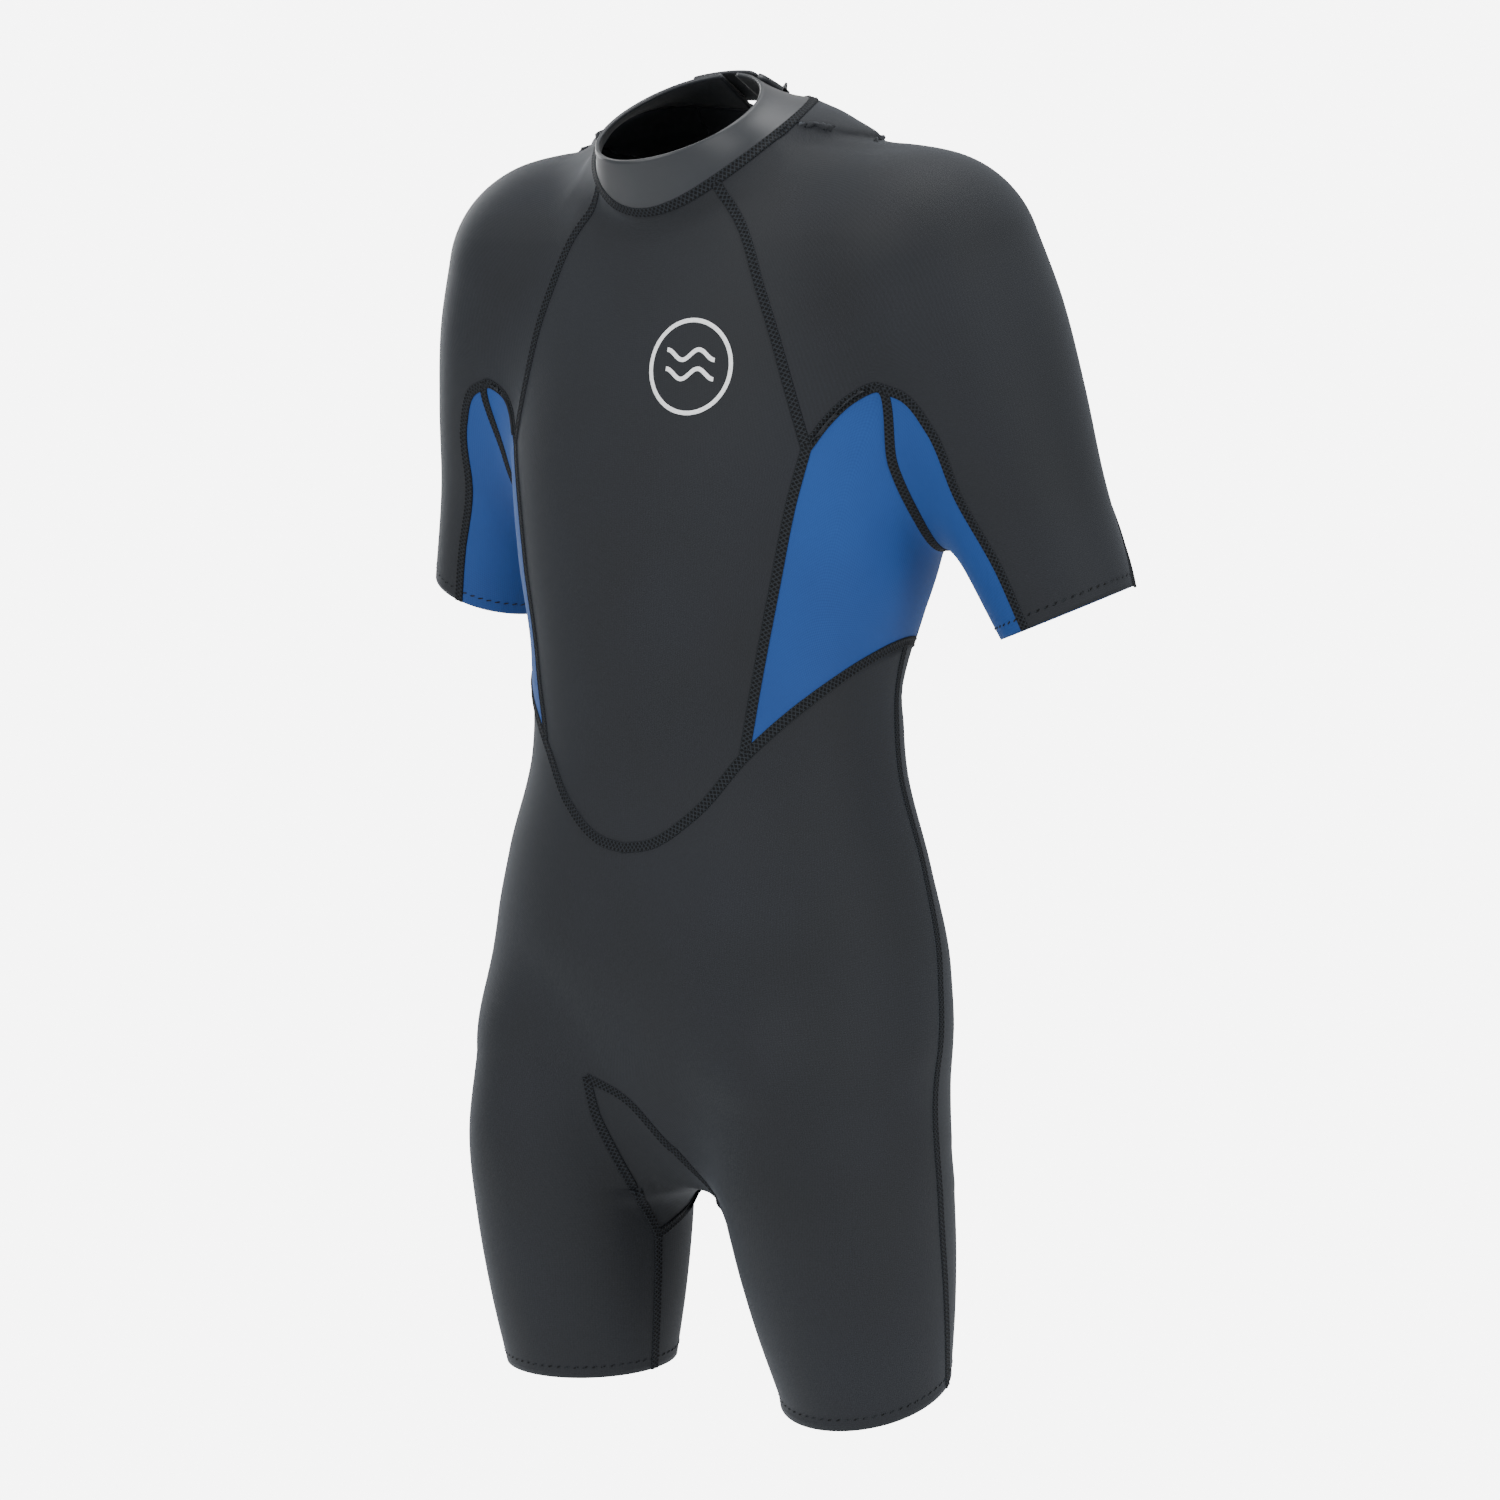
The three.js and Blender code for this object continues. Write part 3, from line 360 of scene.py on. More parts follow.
def build(name, verts, faces, uv, finish, body="suit", sharp=40):
    """A smooth-shaded piece in metres from millimetres. Corners at one place are merged."""
    _, first, same = np.unique(np.round(verts, 2), axis=0, return_index=True, return_inverse=True)
    corners_of = same.ravel()[faces].tolist()
    merged = [dict(zip(corners, sources)) for corners, sources in zip(corners_of, faces.tolist())]
    merged = [face for face in merged if len(face) > 2]
    mesh = bpy.data.meshes.new(name)
    mesh.from_pydata((verts[first] / 1000).tolist(), [], [list(face) for face in merged])
    sources = np.concatenate([list(face.values()) for face in merged])
    mesh.uv_layers.new(name="Cloth").data.foreach_set("uv", (uv[sources] / 1000).ravel())
    mesh.materials.append(finish)
    mesh.shade_smooth()
    mesh.set_sharp_from_angle(angle=math.radians(sharp))
    piece = bpy.data.objects.new(name, mesh)
    bpy.context.collection.objects.link(piece)
    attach(piece, body)
    return piece


def quads(n, m, start=0):
    """Faces of an n by m grid of points."""
    k = np.arange(n * m).reshape(n, m) + start
    return np.stack([k[:-1, :-1], k[1:, :-1], k[1:, 1:], k[:-1, 1:]], -1).reshape(-1, 4)


def outwards(verts, faces, out):
    """The faces, turned round if most of them look against the outward directions of their corners."""
    a, b, c = (verts[faces[:, k]] for k in (0, 1, 2))
    return faces if (np.cross(b - a, c - b) * out[faces[:, 0]]).sum() > 0 else faces[:, ::-1]


def grid_map(grid):
    """Running lengths across and along a grid, as a map in millimetres."""
    return np.stack(np.meshgrid(lengths(grid, 0), lengths(grid, 1), indexing="ij"), -1).reshape(-1, 2)


def cloth(name, grids, finish, nodes, rests_on, thick=FOAM, out=facing, body="suit"):
    """A sheet from grids that share edges. The grids are its outer face, and the wall is grown inwards.

    A piece that rests on nothing, such as the root of the collar tab, is returned before its cut size is
    worked out.
    """
    verts = np.concatenate([g.reshape(-1, 3) for g in grids])
    starts = np.cumsum([0] + [g.shape[0] * g.shape[1] for g in grids])
    outward = out(verts)
    faces = np.concatenate([outwards(verts, quads(*g.shape[:2], start), outward)
                            for g, start in zip(grids, starts)])
    uv = np.concatenate([grid_map(g) for g in grids])
    piece = build(name, verts, faces, uv, finish, body)
    wall = piece.modifiers.new("wall", "SOLIDIFY")
    wall.thickness, wall.offset = thick / 1000, -1
    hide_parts(*nodes)
    if not rests_on:
        return piece
    corner = verts[faces]
    diagonals = np.cross(corner[:, 2] - corner[:, 0], corner[:, 3] - corner[:, 1])
    area = np.linalg.norm(diagonals, axis=1).sum() / 2e6 / STRETCH ** 2
    width = sum(lengths(g, 0)[-1] for g in grids[:2]) / 1000 / STRETCH
    length = max(np.linalg.norm(np.diff(g, axis=1), axis=-1).sum(1).max() for g in grids) / 1000 / STRETCH
    width, length = round(max(width, 1.05 * area / length), 3), round(length, 3)
    return piece


def join(*lines):
    """Lines that follow on from each other, as one, with no place twice."""
    return np.concatenate([np.asarray(lines[0])] + [np.asarray(x)[1:] for x in lines[1:]])


chest_middle = line([on_collar_seam(0), *(on_trunk(z, 0) for z in (760, 680, 580, 480)), on_trunk(386, 0)])
chest_left = join(RAGLAN, SIDE_FRONT)
collar_front = on_collar_seam(np.linspace(-FRONT_TURN, FRONT_TURN, 60))
waist_front = line(waist([0, 6, 12, 20, 30, 38, 46.7]))
u_line = join(mirrored(waist_front)[::-1], waist_front)
chest_grid = net([mirrored(chest_left), chest_middle, chest_left], 61, 101, collar_front, u_line)
cloth("chest", [chest_grid], charcoal_jersey, ["chest_panel"],
      ["collar_seam", "waist_seam"])


# ------------------------------------------------------------------------------------------ side panels
# Mid-blue jersey on the same foam. Each runs from the armhole to the waist seam, wide under the arm and
# narrow in front, so that the suit gives where the arm lifts.

BLUE, BLUE_WORN, BLUE_DEEP = "#113D7C", "#154384", "#0D3570"
blue_jersey = surface("blue_nylon_jersey", jersey(BLUE, BLUE_WORN, BLUE_DEEP), **{
    "IOR": 1.5, "Specular IOR Level": 0.35, "Sheen Weight": 0.14, "Sheen Roughness": 0.45,
    "Sheen Tint": linear("#A9C4E6")})


def armpit():
    """The valley between the sleeve and the trunk, from the front round underneath to the back."""
    p = np.array([[172, -28, 650], [172, 0, 618], [168, 30, 606], [160, 62, 612], [152, 88, 640]], float)
    apart = lambda q: trunk_form(q) - arm_form(q)
    for _ in range(12):
        p = onto(p, 1)
        g = gradient(p, apart)
        p -= 0.6 * apart(p)[:, None] * g / (g * g).sum(-1, keepdims=True)
    return p


VALLEY = armpit()
BACK_CORNER, BACK_FOOT = on_trunk(665, 125), on_trunk(522, 118)
FOLD_TOP, FOLD_BACK = onto(np.array([[171, -49, 701], [149, 96, 668]], float))
ARMHOLE = line([CORNER, [137, -60, 677], [153, -53, 693], FOLD_TOP, *VALLEY, FOLD_BACK, BACK_CORNER])
SIDE_BACK = line([BACK_CORNER, on_trunk(592, 123), BACK_FOOT])


def part_of(path, start, end, count=120):
    """The stretch of a line between two shares of its length."""
    path = even(path, 400)
    return even(path[int(start * 399):int(end * 399) + 1], count)


side_guides = [SIDE_FRONT]
for share, middle, turn in ((0.34, (585, 68), 62.7), (0.5, (560, 84), 79.5), (0.66, (560, 104), 101)):
    side_guides.append(line([part_of(ARMHOLE, share, 1)[0], on_trunk(*middle), *waist([turn])]))
side_guides.append(SIDE_BACK)
side_grid = net(side_guides, 91, 81, ARMHOLE, line(waist([46.7, 54, 62.7, 72, 79.5, 90, 101, 110, 118])))
for side, word in ((1, "left"), (-1, "right")):
    cloth("side_" + word, [side_grid * [side, 1, 1]], blue_jersey, ["side_panel_" + word],
          ["side_front_seam_" + word, "armhole_seam_" + word])


# ------------------------------------------------------------------------------------------ sleeves
# Raglan sleeves of two pieces: a charcoal one that runs from the collar over the shoulder to the hem, and a
# blue one under the arm. They end in a straight hem above the elbow.

def on_arm(side, along, turn):
    """A place on a sleeve: turn 0 is its front, 90 outside, 180 behind and 270 against the body."""
    a = math.radians(turn)
    across, forward, axis = axes_of(SHOULDER, CUFF).T
    forward = forward if forward[1] < 0 else -forward
    p = from_inside(SHOULDER + axis * along, across * math.sin(a) + forward * math.cos(a), 110)
    return p * [side, 1, 1]


def nearest_share(path, place):
    """How far along a line, as a share, it passes nearest to a place."""
    path = even(path, 400)
    return int(np.argmin(np.linalg.norm(path - place, axis=1))) / 399


def between(a, b, f):
    return a + (b - a) * f


SLEEVE_RUN = 253  # from the shoulder to the edge of the sleeve
RAGLAN_BACK = line([on_collar_seam(BACK_TURN), on_trunk(820, 142), on_trunk(740, 135), on_trunk(700, 129),
                    BACK_CORNER])
SLEEVE_FRONT = line([FOLD_TOP, [190, -45, 694], [205, -36, 672], [217, -17, 624], [238, -1, 578],
                     on_arm(1, SLEEVE_RUN, 358)])
SLEEVE_REAR = line([FOLD_BACK, on_arm(1, 112, 205), on_arm(1, 150, 165), on_arm(1, 205, 138),
                    on_arm(1, SLEEVE_RUN, 112)])
FORWARD = 1 if axes_of(SHOULDER, CUFF)[1, 1] < 0 else -1  # which way the arm's second axis looks
START, END = nearest_share(ARMHOLE, FOLD_TOP), nearest_share(ARMHOLE, FOLD_BACK)
FOLD = part_of(ARMHOLE, START, END)
sleeve_front_edge = join(RAGLAN, part_of(ARMHOLE, 0, START), SLEEVE_FRONT)
sleeve_rear_edge = join(RAGLAN_BACK, part_of(ARMHOLE, END, 1)[::-1], SLEEVE_REAR)
sleeve_guides = [sleeve_front_edge]
for f in (0.25, 0.5, 0.75):
    neck = on_collar_seam(between(FRONT_TURN, BACK_TURN, f))
    cap = on_arm(1, 0, 180 * f)
    across = [on_arm(1, run, a + (b - a) * f) for run, a, b in
              ((60, -10, 200), (112, -12, 205), (150, -4, 165), (205, -3, 138), (SLEEVE_RUN, -2, 112))]
    sleeve_guides.append(line([neck, neck * 0.45 + cap * 0.55 + [0, 0, 14], cap, *across]))
sleeve_guides.append(sleeve_rear_edge)
collar_side = on_collar_seam(np.linspace(FRONT_TURN, BACK_TURN, 80))
cuff_outer = line([on_arm(1, SLEEVE_RUN, t) for t in np.linspace(-2, 112, 12)])
cuff_inner = line([on_arm(1, SLEEVE_RUN, t) for t in np.linspace(358, 112, 22)])
sleeve_grid = net(sleeve_guides, 101, 141, collar_side, cuff_outer)
underarm_guides = [SLEEVE_FRONT]
for f in (0.2, 0.4, 0.6, 0.8):
    fold_place = part_of(FOLD, f, 1)[0]
    aside, forward, run = (fold_place - SHOULDER) @ axes_of(SHOULDER, CUFF) * [1, -FORWARD, 1]
    fold_turn = math.degrees(math.atan2(aside, -forward)) % 360
    hem_turn = 358 - 246 * np.clip((342 - fold_turn) / 137, 0.08, 0.92)
    halfway = on_arm(1, between(run, SLEEVE_RUN, 0.55), between(fold_turn, hem_turn, 0.5))
    underarm_guides.append(line([fold_place, halfway, on_arm(1, SLEEVE_RUN, hem_turn)]))
underarm_guides.append(SLEEVE_REAR)
underarm_grid = net(underarm_guides, 91, 81, FOLD, cuff_inner)
for side, word in ((1, "left"), (-1, "right")):
    cloth("sleeve_" + word, [sleeve_grid * [side, 1, 1]], charcoal_jersey,
          ["sleeve_panel_" + word], ["raglan_front_seam_" + word, "raglan_back_seam_" + word])
    cloth("underarm_" + word, [underarm_grid * [side, 1, 1]], blue_jersey,
          ["underarm_panel_" + word], ["sleeve_front_seam_" + word, "armhole_seam_" + word])


# ------------------------------------------------------------------------------------------ back panels
# Two charcoal pieces, one each side of the zip, from the collar to the waist seam.

SLOT = 8.0
back_inner = line([[SLOT, spine(z), z] for z in (888, 820, 740, 660, 580, 512)]
                  + [[3, spine(498), 498], [0, 99, 487.4]])
back_inner[0] = on_collar_seam(OPENING_TURN)
back_middle = line([on_collar_seam(156), on_trunk(820, 160), on_trunk(740, 157), on_trunk(660, 152),
                    on_trunk(590, 150), *waist([149])])
back_grid = net([back_inner, back_middle, join(RAGLAN_BACK, SIDE_BACK)], 41, 101,
                on_collar_seam(np.linspace(OPENING_TURN, BACK_TURN, 40)),
                line(waist([180, 170, 160, 150, 140, 130, 118])))
for side, word in ((1, "left"), (-1, "right")):
    cloth("back_" + word, [back_grid * [side, 1, 1]], charcoal_jersey,
          ["back_panel_" + word], ["zip_tape_" + word, "raglan_back_seam_" + word])


# ------------------------------------------------------------------------------------------ lower front
# One charcoal piece from the U down both legs, notched for the gusset. The legs end above the knee.

HEM_LEAN = {1: 17.0, -1: 2.5}
GUSSET_TIP = [-49, -82, 222]


def on_leg(side, z, turn):
    """A place on a leg at a height: turn 0 is its front, 90 outside, 180 behind and 270 inside."""
    a = math.radians(turn)
    middle = HEM[side] + (THIGH[side] - HEM[side]) * z / 230
    return from_inside(middle, np.array([side * math.sin(a), -math.cos(a), 0]), 110)


def on_hem(side, turn):
    """A place on the leaning edge of a leg hem."""
    deep = LEG[-1, 2] * math.cos(math.radians(turn))
    return on_leg(side, -deep * math.tan(math.radians(HEM_LEAN[side])), turn)


def leg_outer(s):
    down_trunk = [on_trunk(z, s * turn) for z, turn in ((526, 101), (450, 101), (370, 100), (300, 97))]
    return line([*down_trunk, on_leg(s, 176, 104), on_leg(s, 69, 101), on_hem(s, 107)])


def gusset_front(s):
    """An edge of the gusset, from its tip in front, at the wearer's right, to the inner leg seam."""
    way = [[-49, -74, 192], [-42, -64, 163]]
    if s > 0:
        way = [[-20, -72, 211], [2, -48, 186], on_leg(1, 140, 300)]
    return line([GUSSET_TIP, *way, on_leg(s, 100, 277)], 120)


def leg_inner(s):
    return line([on_leg(s, 100, 277), on_leg(s, 50, 276), on_hem(s, 274)], 80)


def stepped(lines, counts):
    """Lines that follow on, each at its own number of places, as one guide with a place at each joint."""
    return join(*(even(x, n) for x, n in zip(lines, counts)))


ROWS = (44, 30, 28)
FRONT_MIDDLE = line([on_trunk(386, 0), on_trunk(320, -3), on_trunk(262, -12), GUSSET_TIP])


def split(path, heights, counts):
    """A falling line parted where it first comes below each height, each part at its own number of places."""
    cuts = [0] + [int(np.argmax(path[:, 2] < z)) for z in heights] + [len(path) - 1]
    return stepped([path[i:j + 1] for i, j in zip(cuts, cuts[1:])], counts)


def leg_net(s, edge_turns, inner_lines, top, thigh):
    """Half of a trunk-and-leg piece. edge_turns: where it ends at the waist, hip, thigh and hem."""
    waist_turn, hip, knee, hem = edge_turns
    heights = (inner_lines[0][-1][2], inner_lines[1][-1][2])
    inner = stepped(inner_lines, ROWS)
    guides = [split(leg_outer(s), heights, ROWS)]
    for f in (0.25, 0.5, 0.75):
        start = part_of(top, f, 1)[0]
        guides.append(split(line([
            start, on_trunk(between(start[2], 320, 0.5), s * between(100, waist_turn, f)),
            on_trunk(300, s * between(98, hip, f)),
            *([on_leg(s, 176, between(104, thigh, f))] if thigh else []),
            on_leg(s, 96, between(101, knee, f)), on_leg(s, 45, between(103, knee, f)),
            on_hem(s, between(107, hem, f))], 400), heights, ROWS))
    guides.append(inner)
    bottom = line([on_hem(s, t) for t in np.linspace(107, hem, 16)])
    return net(guides, 51, len(inner), top, bottom)


def waist_to(turns, s):
    return line([on_trunk(float(waist_height(t)), s * t) for t in turns])


front_grids = [leg_net(s, (0, -4 * s, -83, -86), [FRONT_MIDDLE, gusset_front(s), leg_inner(s)],
                       waist_to([101, 80, 62.7, 46.7, 30, 20, 12, 0], s), thigh_turn)
               for s, thigh_turn in ((1, -69), (-1, -52))]
cloth("lower_front", front_grids, charcoal_jersey, ["lower_front_panel"],
      ["waist_seam", "leg_outer_seam_left", "leg_outer_seam_right"])


# ------------------------------------------------------------------------------------------ seat panels
# Two charcoal pieces that meet down the middle behind and wrap each leg to its inner seam.

SEAT_FOOT = [0, 104, 196]  # where the gusset ends behind


def gusset_rear(s):
    """The gusset's edge behind the inner leg seam, up to the seat seam."""
    behind = [[s * 40, 34, 124], [s * 32, 56, 134], [s * 15, 80, 154]]
    return line([on_leg(s, 100, 277), *behind, SEAT_FOOT], 120)


SEAT = line([on_trunk(487, 180), on_trunk(400, 180), on_trunk(300, 180), SEAT_FOOT])
for side, word in ((1, "left"), (-1, "right")):
    seat_inner = [SEAT, gusset_rear(side)[::-1], leg_inner(side)]
    seat_top = waist_to([101, 110, 118, 135, 150, 165, 180], side)
    seat_grid = leg_net(side, (180, 180, 277, 274), seat_inner, seat_top, None)
    cloth("seat_" + word, [seat_grid], charcoal_jersey, ["seat_panel_" + word],
          ["seat_seam", "leg_outer_seam_" + word])


# ------------------------------------------------------------------------------------------ crotch gusset
# A charcoal diamond let in between the legs, so that no four seams meet where the wearer sits.

gusset_edges = [join(gusset_front(s), gusset_rear(s)) for s in (1, -1)]
gusset_middle = line([GUSSET_TIP, [-24, -66, 200], [-4, -28, 150], [0, 20, 128], [0, 60, 142], SEAT_FOOT])
gusset_grid = net([gusset_edges[0], gusset_middle, gusset_edges[1]], 31, 61)
cloth("gusset", [gusset_grid], charcoal_jersey, ["crotch_gusset"],
      ["gusset_seam_left", "gusset_seam_right"])


# ------------------------------------------------------------------------------------------ collar
# A round standing collar of smooth-faced foam, cut in one strip and open behind. Its face is plain and
# closer than the jersey, so it looks greyer and takes a broader highlight.

def smooth_face(tree):
    place = add(tree, "TexCoord").outputs["Object"]
    slow = add(tree, "TexNoise", {"Vector": place, "Scale": 14.0, "Detail": 3.0})
    grain = add(tree, "TexNoise", {"Vector": place, "Scale": 1600.0, "Detail": 2.0})
    rough = add(tree, "MapRange", {"Value": slow.outputs["Fac"], "To Min": 0.42, "To Max": 0.56})
    relief = add(tree, "Bump", {"Height": grain.outputs["Fac"], "Strength": 0.25, "Distance": 0.00005})
    return {"Base Color": colours(tree, slow.outputs["Fac"], [(0.3, "#1C2025"), (0.7, "#21252B")]),
            "Roughness": rough.outputs[0], "Normal": relief.outputs["Normal"]}


smooth_lining = surface("smooth_faced_foam", smooth_face, **{"IOR": 1.5, "Sheen Weight": 0.1})
COLLAR_RINGS = np.array([  # run, middle y, height, half width, half depth, rise at the sides
    [2, -6, 839, 116, 77, 38], [3, -17, 856, 80, 68, 26], [4, -45, 884, 57, 57, 0],
    [5, -67, 908, 45, 47, 0]], float)


def collar_ring(run):
    return (curve(3 + run, COLLAR_RINGS[:, 0], COLLAR_RINGS[:, k]) for k in range(1, 6))


def collar_at(turn, run):
    """A place on the collar: leaning ellipses, raised at the sides by the square of the turn's sine."""
    y, z, half, deep, rise = collar_ring(run)
    s, c = np.sin(np.radians(turn)), np.cos(np.radians(turn))
    reach = 1 / np.sqrt((s / half) ** 2 + (c / deep) ** 2)
    lean = math.tan(math.radians(RIM_LEAN))
    return np.stack([reach * s, y - reach * c, z - reach * c * lean + rise * s * s], -1)


def from_neck(points):
    """Outward directions round the neck."""
    away = points - [0, -31, 870]
    away[:, 2] *= 0.2
    return away / np.linalg.norm(away, axis=1, keepdims=True)


collar_turns, collar_runs = np.meshgrid(np.linspace(-173, 173, 161), np.linspace(0.0, 1, 15), indexing="ij")
cloth("collar_cloth", [collar_at(collar_turns, collar_runs)], smooth_lining, ["collar"],
      ["collar_seam"], out=from_neck)


# ------------------------------------------------------------------------------------------ seams
# Flatlock seams: two rows of loops, joined by a braid of thread, hold the butted edges of the foam. They are
# 7 mm wide and stand less than a millimetre proud. The thread catches the light along each rib, and there its
# colour is also painted lighter, a painted highlight, with painted shade in the hollows between the loops.

# THREAD is the thread's own colour; the lighter one is a painted highlight on the crests, the darker one
# painted shade in the hollows.
THREAD, THREAD_CREST_HIGHLIGHT, THREAD_HOLLOW_SHADE = "#0B0D10", "#23272C", "#040506"
LOOP, LOOP_TURN = 0.0042, 38  # metres from one loop of thread to the next, and its slant in degrees
SEAM_STEP = 1.6  # millimetres between a seam's places


def braid(tree):
    uv = add(tree, "UVMap", uv_map="Cloth").outputs["UV"]
    turned = add(tree, "Mapping", {"Vector": uv, "Rotation": (0, 0, math.radians(LOOP_TURN))})
    other = add(tree, "Mapping", {"Vector": uv, "Rotation": (0, 0, math.radians(-LOOP_TURN))})
    across = dict(bands_direction="Y")
    rising = add(tree, "TexWave", {"Vector": turned.outputs[0], "Scale": WAVE / LOOP * 1.6}, **across)
    falling = add(tree, "TexWave", {"Vector": other.outputs[0], "Scale": WAVE / LOOP * 1.6}, **across)
    weave = add(tree, "Math", {0: rising.outputs["Fac"], 1: falling.outputs["Fac"]}, operation="MAXIMUM")
    relief = add(tree, "Bump", {"Height": weave.outputs[0], "Strength": 0.9, "Distance": 0.0004})
    # The ramp follows the weave's height: the crests get a painted highlight and the hollows between the loops
    # get painted shade.
    shades = [(0.35, THREAD_HOLLOW_SHADE), (1.0, THREAD_CREST_HIGHLIGHT), (0.7, THREAD)]
    return {"Base Color": colours(tree, weave.outputs[0], shades), "Normal": relief.outputs["Normal"]}


seam_thread = surface("polyester_seam_thread", braid, **{"Roughness": 0.75, "IOR": 1.5,
                                                       "Specular IOR Level": 0.2})
FLATLOCK = np.array([  # across, height
    [-3.5, -0.9], [-3.5, 0.3], [-3.0, 0.85], [-2.3, 1.15], [-1.6, 0.8], [-0.8, 0.6], [0, 0.7],
    [0.8, 0.6], [1.6, 0.8], [2.3, 1.15], [3.0, 0.85], [3.5, 0.3], [3.5, -0.9]])


def ribbon(name, paths, profile, finish, nodes, out=facing, lay=project, body="suit"):
    """A profile of (across, height) carried along each path, laid on the form and closed all round."""
    verts, faces, uv, start = [], [], [], 0
    for path in paths:
        normal = out(path)
        along = np.gradient(path, axis=0)
        across = np.cross(along, normal)
        across /= np.linalg.norm(across, axis=1, keepdims=True)
        flat = path[:, None] + across[:, None] * profile[None, :, :1]
        grid = lay(flat)
        lift = out(grid.reshape(-1, 3)).reshape(grid.shape)
        grid = grid + lift * profile[None, :, 1:]
        n, m = grid.shape[:2]
        grid = np.concatenate([grid, grid[:, :1]], 1)
        run = np.r_[0, np.cumsum(np.linalg.norm(np.diff(path, axis=0), axis=1))]
        aside = np.r_[profile[:, 0], profile[0, 0]]
        verts.append(grid.reshape(-1, 3))
        outer = np.concatenate([lift, lift[:, :1]], 1).reshape(-1, 3)
        strip = quads(n, m + 1)
        top = strip[(strip % (m + 1)).max(1) < m]
        sides = (verts[-1][top[:, k + 1]] - verts[-1][top[:, k]] for k in (0, 1))
        turned = (np.cross(*sides) * outer[top[:, 0]]).sum() < 0
        strip = strip[:, ::-1] if turned else strip
        faces.append(strip + start)
        caps = np.array([[0, k, k + 1, k + 1] for k in range(1, m - 1)])
        ends = np.concatenate([caps if turned else caps[:, ::-1],
                               (n - 1) * (m + 1) + (caps[:, ::-1] if turned else caps)])
        faces.append(ends + start)
        uv.append(np.stack(np.broadcast_arrays(aside[None], run[:, None]), -1).reshape(-1, 2))
        start += n * (m + 1)
    verts, faces, uv = (np.concatenate(parts) for parts in (verts, faces, uv))
    piece = build(name, verts, faces, uv, finish, body, 60)
    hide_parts(*nodes)
    return piece


def seam(name, path, nodes):
    length = np.linalg.norm(np.diff(path, axis=0), axis=1).sum()
    path = even(path, int(length / SEAM_STEP))
    return ribbon(name, [path], FLATLOCK, seam_thread, nodes, lay=onto)


for word, s in (("left", 1), ("right", -1)):
    for name, path in (("raglan_front", RAGLAN), ("raglan_back", RAGLAN_BACK), ("armhole", ARMHOLE),
                       ("side_front", SIDE_FRONT), ("side_back", SIDE_BACK), ("sleeve_front", SLEEVE_FRONT),
                       ("sleeve_rear", SLEEVE_REAR)):
        seam(name + "_stitching_" + word, path * [s, 1, 1], [name + "_seam_" + word])
    seam("leg_outer_stitching_" + word, leg_outer(s), ["leg_outer_seam_" + word])
    seam("leg_inner_stitching_" + word, leg_inner(s), ["leg_inner_seam_" + word])
    seam("gusset_stitching_" + word, join(gusset_front(s), gusset_rear(s)), ["gusset_seam_" + word])
whole_waist = line(waist([0, 12, 30, 46.7, 62.7, 80, 101, 118, 140, 160, 180]), 400)
seam("waist_stitching", join(mirrored(whole_waist)[::-1], whole_waist), ["waist_seam"])
seam("seat_stitching", SEAT, ["seat_seam"])

# The collar stands off the form at the shoulders, so its seam is laid on the cloth itself.
CLOTH_BY_COLLAR = [collar_at(collar_turns, collar_runs), chest_grid]
CLOTH_BY_COLLAR += [grid * [s, 1, 1] for grid in (sleeve_grid, back_grid) for s in (1, -1)]
STARTS = np.cumsum([0] + [grid[..., 0].size for grid in CLOTH_BY_COLLAR])
COLLAR_TREE = mathutils.bvhtree.BVHTree.FromPolygons(
    np.concatenate([grid.reshape(-1, 3) for grid in CLOTH_BY_COLLAR]).tolist(),
    np.concatenate([quads(*grid.shape[:2], first) for grid, first in zip(CLOTH_BY_COLLAR, STARTS)]).tolist())
RING_FACING = facing(RING)


def beside_collar(points):
    """The nearest places on the collar and on the panels that it is sewn to."""
    return np.array([COLLAR_TREE.find_nearest(p)[0] for p in points.reshape(-1, 3)]).reshape(points.shape)


def off_collar_seam(points):
    """Directions half way between the way that the collar faces and the way that the panels under it face."""
    turn = np.degrees(np.arctan2(points[:, 0], NECK[1] - points[:, 1]))
    below = np.stack([np.interp(turn, RING_TURNS, RING_FACING[:, k]) for k in range(3)], -1)
    up = collar_at(turn, np.full_like(turn, 0.2)) - collar_at(turn, np.zeros_like(turn))
    above = np.cross(on_collar_seam(turn + 1) - on_collar_seam(turn - 1), up)
    both_ways = below + above / np.linalg.norm(above, axis=1, keepdims=True)
    return both_ways / np.linalg.norm(both_ways, axis=1, keepdims=True)


collar_path = on_collar_seam(np.linspace(-OPENING_TURN, OPENING_TURN, 325))
ribbon("collar_stitching", [collar_path], FLATLOCK, seam_thread, ["collar_seam"],
       out=off_collar_seam, lay=beside_collar)


# ------------------------------------------------------------------------------------------ hems
# Each edge is turned under for 16 mm, glued, and held by a blind stitch that shows outside as a row of short
# slanting stitches.

HEM_DEPTH, HEM_THICK = 16.0, 1.6
STITCH_PITCH, STITCH_ABOVE, STITCH_HALF = 6.2, 8.5, 2.1  # apart, above the edge, and half a stitch
cuff_ring = line([on_arm(1, SLEEVE_RUN, t) for t in np.linspace(0, 360, 37)], 121)
arm_way = (SHOULDER - CUFF) / np.linalg.norm(SHOULDER - CUFF)


def band_grid(ring, way):
    """The turned-under band: the edge's ring carried up the limb, inside the foam."""
    grid = project(ring[:, None] + way * np.linspace(0.6, HEM_DEPTH, 6)[None, :, None])
    return grid - (FOAM + 0.2) * facing(grid)


